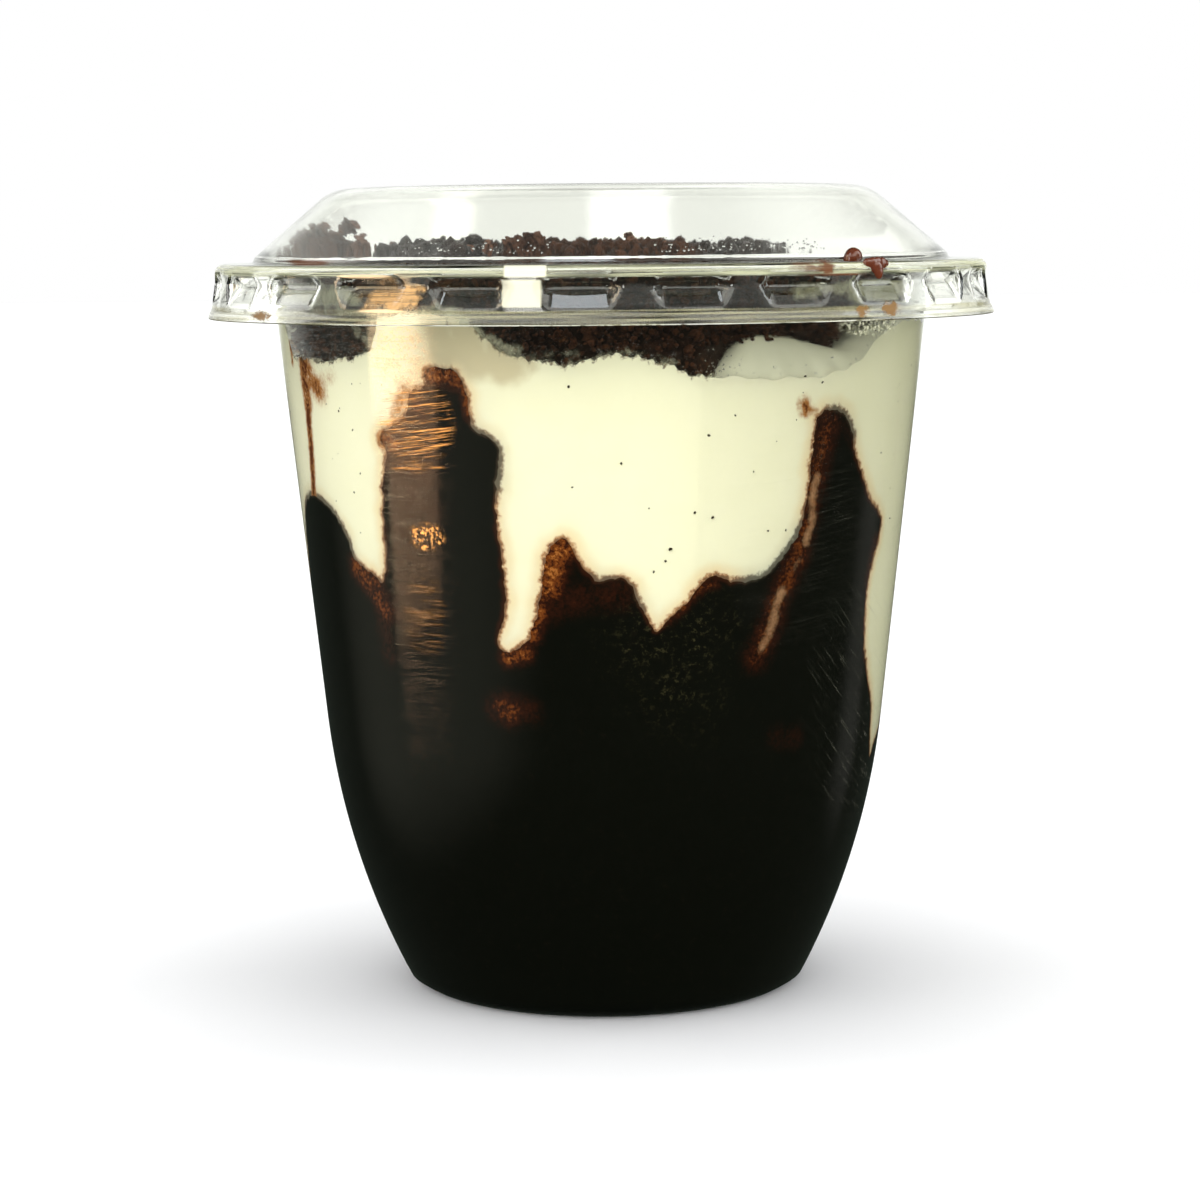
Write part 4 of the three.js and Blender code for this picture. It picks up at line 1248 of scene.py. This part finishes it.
tan = (light_streak + (f.noise(700, 4.0, 0.75) - 0.5) * 1.5).above(0.3, 1.2)
tan = tan * light_streak.above(0.1, 0.45)
body_color = f.mix(tan, body_color, color(190, 146, 108))
specks_in_it = f.noise(1500, 4.0, 0.75).above(0.52, 0.66) * f.attribute("grains") * cloud.above(0.35, 0.65)
f.feed(Base_Color=f.mix(specks_in_it * 0.8, body_color, color(74, 70, 46)))
f.bump(f.noise(1500, 4.0, 0.6), 0.2, 0.0001)
sauce_finish.on(sauce)
print("finished:", sauce.name)

# %% Ice cream finish
cream_finish = Finish("vanilla", Roughness=0.45, Specular_IOR_Level=0.1)
f = cream_finish
cloud, grain = f.noise(260, 3.0, 0.55), f.noise(1800, 2.0, 0.6)
from_edge, cold, dirt = f.attribute("from_edge"), f.attribute("cold"), f.attribute("soiled")
depth = from_edge + (cloud - 0.5) * 0.5 + (grain - 0.5) * 0.9
near = 1 - (depth - cold * 0.3).above(-0.1, 0.75)
ivory = f.mix(cloud, color(252, 251, 228), color(255, 254, 235))
tail = 1 - (from_edge + (cloud - 0.5) * 1.6).above(0.2, 2.1)
ivory = f.mix(tail * 0.45, ivory, f.mix(cold, color(250, 216, 158), color(206, 206, 184)))
rim = f.mix(cold, color(186, 130, 82), color(150, 148, 134))
rim = f.mix((near - 0.45).above(0.0, 0.5), rim, f.mix(cold, color(98, 54, 30), color(84, 82, 72)))
shade = f.mix(near.above(0.0, 0.75) * 0.9, ivory, rim)
# Grey streaks, and painted shade in the crease at the mound's foot.
grey = (f.attribute("grey") * 1.25 - f.noise(700, 5.0, 0.75) * 0.55).above(-0.1, 0.75)
shade = f.mix(grey * 0.9, shade, color(218, 208, 180))
smear = f.attribute("smear") * (0.95 + (cloud - 0.5) * 1.4 + (grain - 0.5) * 1.6)
shade = f.mix(smear.above(0.08, 0.7), shade, color(180, 124, 72))
shade = f.mix(smear.above(0.6, 1.05), shade, color(92, 44, 22))
soiled = (dirt + (f.noise(1300, 4.0, 0.7) - 0.5) * 2.6).above(0.75, 1.3) * dirt.above(0.02, 0.3)
f.feed(Base_Color=f.mix(soiled * 0.85, shade, color(104, 84, 58)))
f.bump(f.noise(700, 4.0, 0.6), 0.15, 0.0002)
cream_finish.on(cream)
print("finished:", cream.name)

# %% Specks, film, dew and drops
speck_finish = Finish("vanilla_pod", Base_Color=color(40, 32, 16), Roughness=0.7)
speck_finish.on(specks)

film_finish = Finish("haze", Base_Color=color(206, 204, 182), Roughness=0.6, Specular_IOR_Level=0.1)
f = film_finish
haze = f.attribute("haze")
cover = (haze + (f.noise(700, 6.0, 0.75) - 0.5) * 1.4).above(0.1, 1.0) * haze.above(0.02, 0.3)
f.feed(Alpha=cover * 0.85)
film_finish.on(haze_ring)

dew_finish = Finish("dew", Base_Color=(1, 1, 1, 1), Roughness=0.0, IOR=1.33, Transmission_Weight=1.0)
dew_finish.let_shadows_through((0.95, 0.95, 0.95, 1))
dew_finish.on(dew)

drop_finish = Finish("sauce_drop", Roughness=0.22, Specular_IOR_Level=0.5)
f = drop_finish
f.feed(Base_Color=f.mix(f.noise(600, 3.0, 0.6), color(58, 24, 14), color(92, 44, 25)))
drop_finish.on(drops)
print("finished:", specks.name, haze_ring.name, dew.name, drops.name)

# %% [markdown]
# ## Cake crumbs
# Moist chocolate cake is dark and dull, a little different from crumb to crumb, with pores that catch
# light at their edges. All of that is noise on the place, at the size of a crumb and of a pore.

# %% Crumb finish
crumb_finish = Finish("crumbs", Roughness=0.75, Specular_IOR_Level=0.35)
f = crumb_finish
x, y, z = f.axes()
patch, pore, spot = f.noise(330, 2.0, 0.5), f.noise(3000, 4.0, 0.75), f.noise(1100, 3.0, 0.6)
light = (f.attribute("shade") * 0.5 + patch * 0.8).above(0.3, 1.15)
brown = f.mix(light, color(36, 22, 14), color(98, 61, 41))
brown = f.mix(spot.above(0.6, 0.8), brown, color(112, 74, 48))
wet = x.above(0.0095, 0.0125).biggest(x.between(-0.029, -0.027, -0.0125, -0.0105))
wet = wet * z.above(0.0895, 0.0902)
brown = f.mix(wet * 0.85, brown, color(16, 11, 8))
f.feed(Base_Color=f.mix(pore.above(0.30, 0.52), color(17, 12, 8), brown), Roughness=0.75 - wet * 0.35)
f.bump(pore + spot * 0.6, 0.8, 0.0004)
crumb_finish.on(core, fine, coarse)

chunk_finish = Finish("torn_cake", Roughness=0.8, Specular_IOR_Level=0.2)
f = chunk_finish
patch, pore = f.noise(500, 4.0, 0.65), f.noise(2600, 4.0, 0.75)
light = (f.attribute("shade") * 0.6 + patch * 0.7).above(0.3, 1.1)
brown = f.mix(light, color(62, 38, 30), color(138, 100, 82))
f.feed(Base_Color=f.mix(pore.above(0.30, 0.5), color(34, 20, 14), brown))
f.bump(pore + patch * 0.6, 0.8, 0.0004)
chunk_finish.on(chunks)
print("finished:", core.name, fine.name, coarse.name, chunks.name)

# %% [markdown]
# ## Stage
# A white floor and a white surround, as in a picture cut out on white. The tub mirrors a dim room with a
# few soft windows, so the dark sauce stays dark behind the glossy wall. The floor isn't mirrored in it.
# The windows are glows in the surround that only gloss sees.

# %% Floor and surround
bpy.ops.mesh.primitive_plane_add(size=8, location=(0, 0, 0))
floor = start_piece("floor")
floor.visible_glossy = floor.visible_transmission = False
floor_finish = Finish("floor", Base_Color=(0.9, 0.905, 0.915, 1), Roughness=0.9, Specular_IOR_Level=0.0)
floor_finish.on(floor)

world = bpy.data.worlds.new("surround")
bpy.context.scene.world = world
world.use_nodes = True
nodes, links = world.node_tree.nodes, world.node_tree.links
nodes.clear()


def shade_of(strength, tone=(1, 1, 1)):
    """A plain background shader."""
    node = nodes.new("ShaderNodeBackground")
    node.inputs[0].default_value, node.inputs[1].default_value = (*tone, 1), strength
    return node.outputs[0]


def choose(factor, no, yes):
    """One background where the factor is 0 and another where it is 1."""
    node = nodes.new("ShaderNodeMixShader")
    links.new(factor, node.inputs[0])
    links.new(no, node.inputs[1])
    links.new(yes, node.inputs[2])
    return node.outputs[0]


path = nodes.new("ShaderNodeLightPath").outputs
toward = nodes.new("ShaderNodeTexCoord").outputs["Generated"]


def along(vector):
    """How far the direction of a ray points along this vector."""
    node = nodes.new("ShaderNodeVectorMath")
    node.operation = "DOT_PRODUCT"
    links.new(toward, node.inputs[0])
    node.inputs[1].default_value = vector
    return Value(world.node_tree, node.outputs["Value"])


def window(azimuth, elevation, half_width, half_height, strength, tone, soft=0.25, lean=0.0):
    """A glow for gloss to mirror. Its angles are in degrees, the azimuth from the front towards +X."""
    az, el = math.radians(azimuth), math.radians(elevation)
    ahead = along((math.sin(az) * math.cos(el), -math.cos(az) * math.cos(el), math.sin(el)))
    up = along((-math.sin(az) * math.sin(el), math.cos(az) * math.sin(el), math.cos(el))) / ahead
    right = along((math.cos(az), math.sin(az), 0)) / ahead - up * lean
    inside = ahead.above(0.0, 0.05)
    for offset, half in ((right, half_width), (up, half_height)):
        edge = math.tan(math.radians(half))
        inside = inside * (1 - offset.size().above(edge * (1 - soft), edge * (1 + soft)))
    node = nodes.new("ShaderNodeBackground")
    node.inputs[0].default_value = (*tone, 1)
    links.new((inside * strength).socket, node.inputs[1])
    return node.outputs[0]


print("surround ready")

# %% Windows
windows = [
    window(-72, -11.6, 12, 4.8, 2.15, (1, 0.58, 0.33), 0.16, 1.08),  # the strip on the wall
    window(-69, -1.5, 12, 10.4, 9.0, (1, 0.76, 0.46), 0.1, 1.0),   # its bright upper part
    window(-66, 30, 10, 16, 6.0, (1, 0.76, 0.46)),                 # above it, for the lugs
    window(-75, -14, 38, 14, 0.22, (1, 1, 0.8), 0.6),              # a dim glow over the left side
    window(-28, 44, 36, 14, 3.2, (1, 1, 0.9)),                     # the flare and the lugs at the left
    window(62, 42, 26, 14, 3.2, (1, 1, 0.92)),                     # the same at the right
    window(-12, 68.5, 8, 9, 8.0, (0.9, 0.96, 1.0)),                # one lug's cool face
    window(-21.5, 7, 6.0, 14, 10.0, (1, 1, 0.93)),                 # a bright patch on the skirt
    window(-112, 20, 14, 20, 4.0, (1, 1, 0.95)),                   # glints on the lugs' cheeks
    window(100, 22, 12, 20, 4.0, (0.95, 1, 1)),
    window(122, -13, 7, 8, 0.12, (1, 0.97, 0.9), 0.6),             # faint streaks near the right edge
]
# Two bright stripes of the backdrop, seen through the dome behind the crumbs.
stripes = [window(183.0, 3, 0.42, 12, 0.4, (1, 0.98, 0.84), 0.2),
           window(179.42, 3, 0.8, 12, 0.4, (1, 1, 1), 0.12)]


def together(base, glows):
    """Adds glows to a background."""
    for glow in glows:
        adder = nodes.new("ShaderNodeAddShader")
        links.new(base, adder.inputs[0])
        links.new(glow, adder.inputs[1])
        base = adder.outputs[0]
    return base


mirrors = together(shade_of(0.03, (0.8, 1, 0.8)), windows)
ahead, aside, upward = along((0, 1, 0)), along((1, 0, 0)).size(), along((0, 0, 1))
grazing = ahead.above(0.82, 0.96) * upward.above(-0.075, -0.035)
mirrors = choose(grazing.socket, mirrors, shade_of(1.0, (0.98, 1, 0.97)))
ahead_or_up = ahead.above(0.0, 0.45).biggest(aside.above(0.5, 0.8)) * upward.above(-0.12, -0.05)
ahead_or_up = ahead_or_up.biggest(ahead.above(0.5, 0.9)).biggest(upward.above(0.0, 0.35))
ahead_or_up = ahead_or_up * (1 - upward.above(0.8, 0.97) * 0.75)
middle, sides = shade_of(1.1, (0.985, 1, 0.93)), shade_of(1.38, (0.985, 1, 0.94))
clear = choose(aside.above(0.04, 0.09).socket, middle, sides)
through = choose(ahead_or_up.socket, shade_of(0.06, (0.95, 1, 0.93)), clear)
through = together(through, stripes)
sky = choose(path["Is Camera Ray"], shade_of(0.45), shade_of(1.0))
mirrored = choose(path["Is Glossy Ray"], sky, mirrors)
seen = choose(path["Is Transmission Ray"], mirrored, through)
links.new(seen, nodes.new("ShaderNodeOutputWorld").inputs["Surface"])
bpy.context.scene.view_settings.view_transform = "Standard"
print("windows:", len(windows))

# %% [markdown]
# ## Lamps
# Large soft lamps light the tub from the left, the right and above. The floor has its own far lamps, a
# low ring of eight and one above, so that the tub's shadow stays close to its base and fades evenly.


# %% Lamps
LAMP_DISTANCE = 1.2


def lamp(name, place, spread, strength, tone, on, kind="AREA"):
    """A soft lamp that shines from this place towards the tub, on some pieces alone."""
    place = Vector(place).normalized() * LAMP_DISTANCE
    bpy.ops.object.light_add(type=kind, location=place)
    light = bpy.context.object
    light.name = name
    light.data.color = tone
    if kind == "SUN":
        light.data.energy, light.data.angle = strength, math.radians(spread)
    else:
        light.data.shape = "DISK"
        light.data.size = 2 * LAMP_DISTANCE * math.tan(math.radians(spread / 2))
        light.data.energy = strength * math.pi * LAMP_DISTANCE ** 2
    light.rotation_mode = "QUATERNION"
    light.rotation_quaternion = (Vector((0, 0, 0.05)) - place).to_track_quat("-Z", "Y")
    light.visible_glossy = light.visible_camera = light.visible_transmission = False
    light.light_linking.receiver_collection = on
    return light


tub, ground = bpy.data.collections.new("tub"), bpy.data.collections.new("ground")
ground.objects.link(floor)
for piece in (cup, lid, sauce, cream, specks, core, fine, coarse, chunks, haze_ring, dew, drops):
    tub.objects.link(piece)
lamp("key", (-0.45, -0.75, 0.50), 45, 3.15, (1.0, 0.975, 0.87), tub)
lamp("fill", (0.76, -0.65, 0.2), 60, 2.45, (1.0, 0.985, 0.83), tub)
lamp("right", (0.97, -0.14, 0.14), 50, 2.9, (1.0, 0.98, 0.70), tub)
lamp("top", (0, -0.1, 1.0), 75, 1.8, (1, 1, 1), tub)
# A ring of low lamps for the floor alone keeps the shadow close to the base.
for i in range(8):
    turn = math.radians(45 * i + 22.5)
    strength = 0.2 + 0.72 * math.sin(turn) ** 2
    lamp(f"low_{i}", (math.sin(turn), -math.cos(turn), 0.42), 40, strength, (1, 1, 1), ground, "SUN")
lamp("above_floor", (0, 0, 1.0), 50, 1.4, (1, 1, 1), ground, "SUN")

# %% [markdown]
# ## Pieces on the body
# Each piece rides on the tub's one body, and the CAD solid it stands for is hidden.

# %% Finish
for piece, node, slot in (
    (cup, "cup", "cup_plastic"), (lid, "lid", "lid_plastic"), (sauce, "chocolate_sauce", "chocolate"),
    (cream, "vanilla_cream", "cream"), (specks, None, "cream"), (core, "cake_crumbs", "crumbs"),
    (fine, None, "crumbs"), (coarse, None, "crumbs"), (chunks, None, "crumbs"), (haze_ring, None, "cream"),
    (dew, None, "cup_plastic"), (drops, None, "chocolate"),
):
    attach(piece, "root")
    if node:
        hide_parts(node)
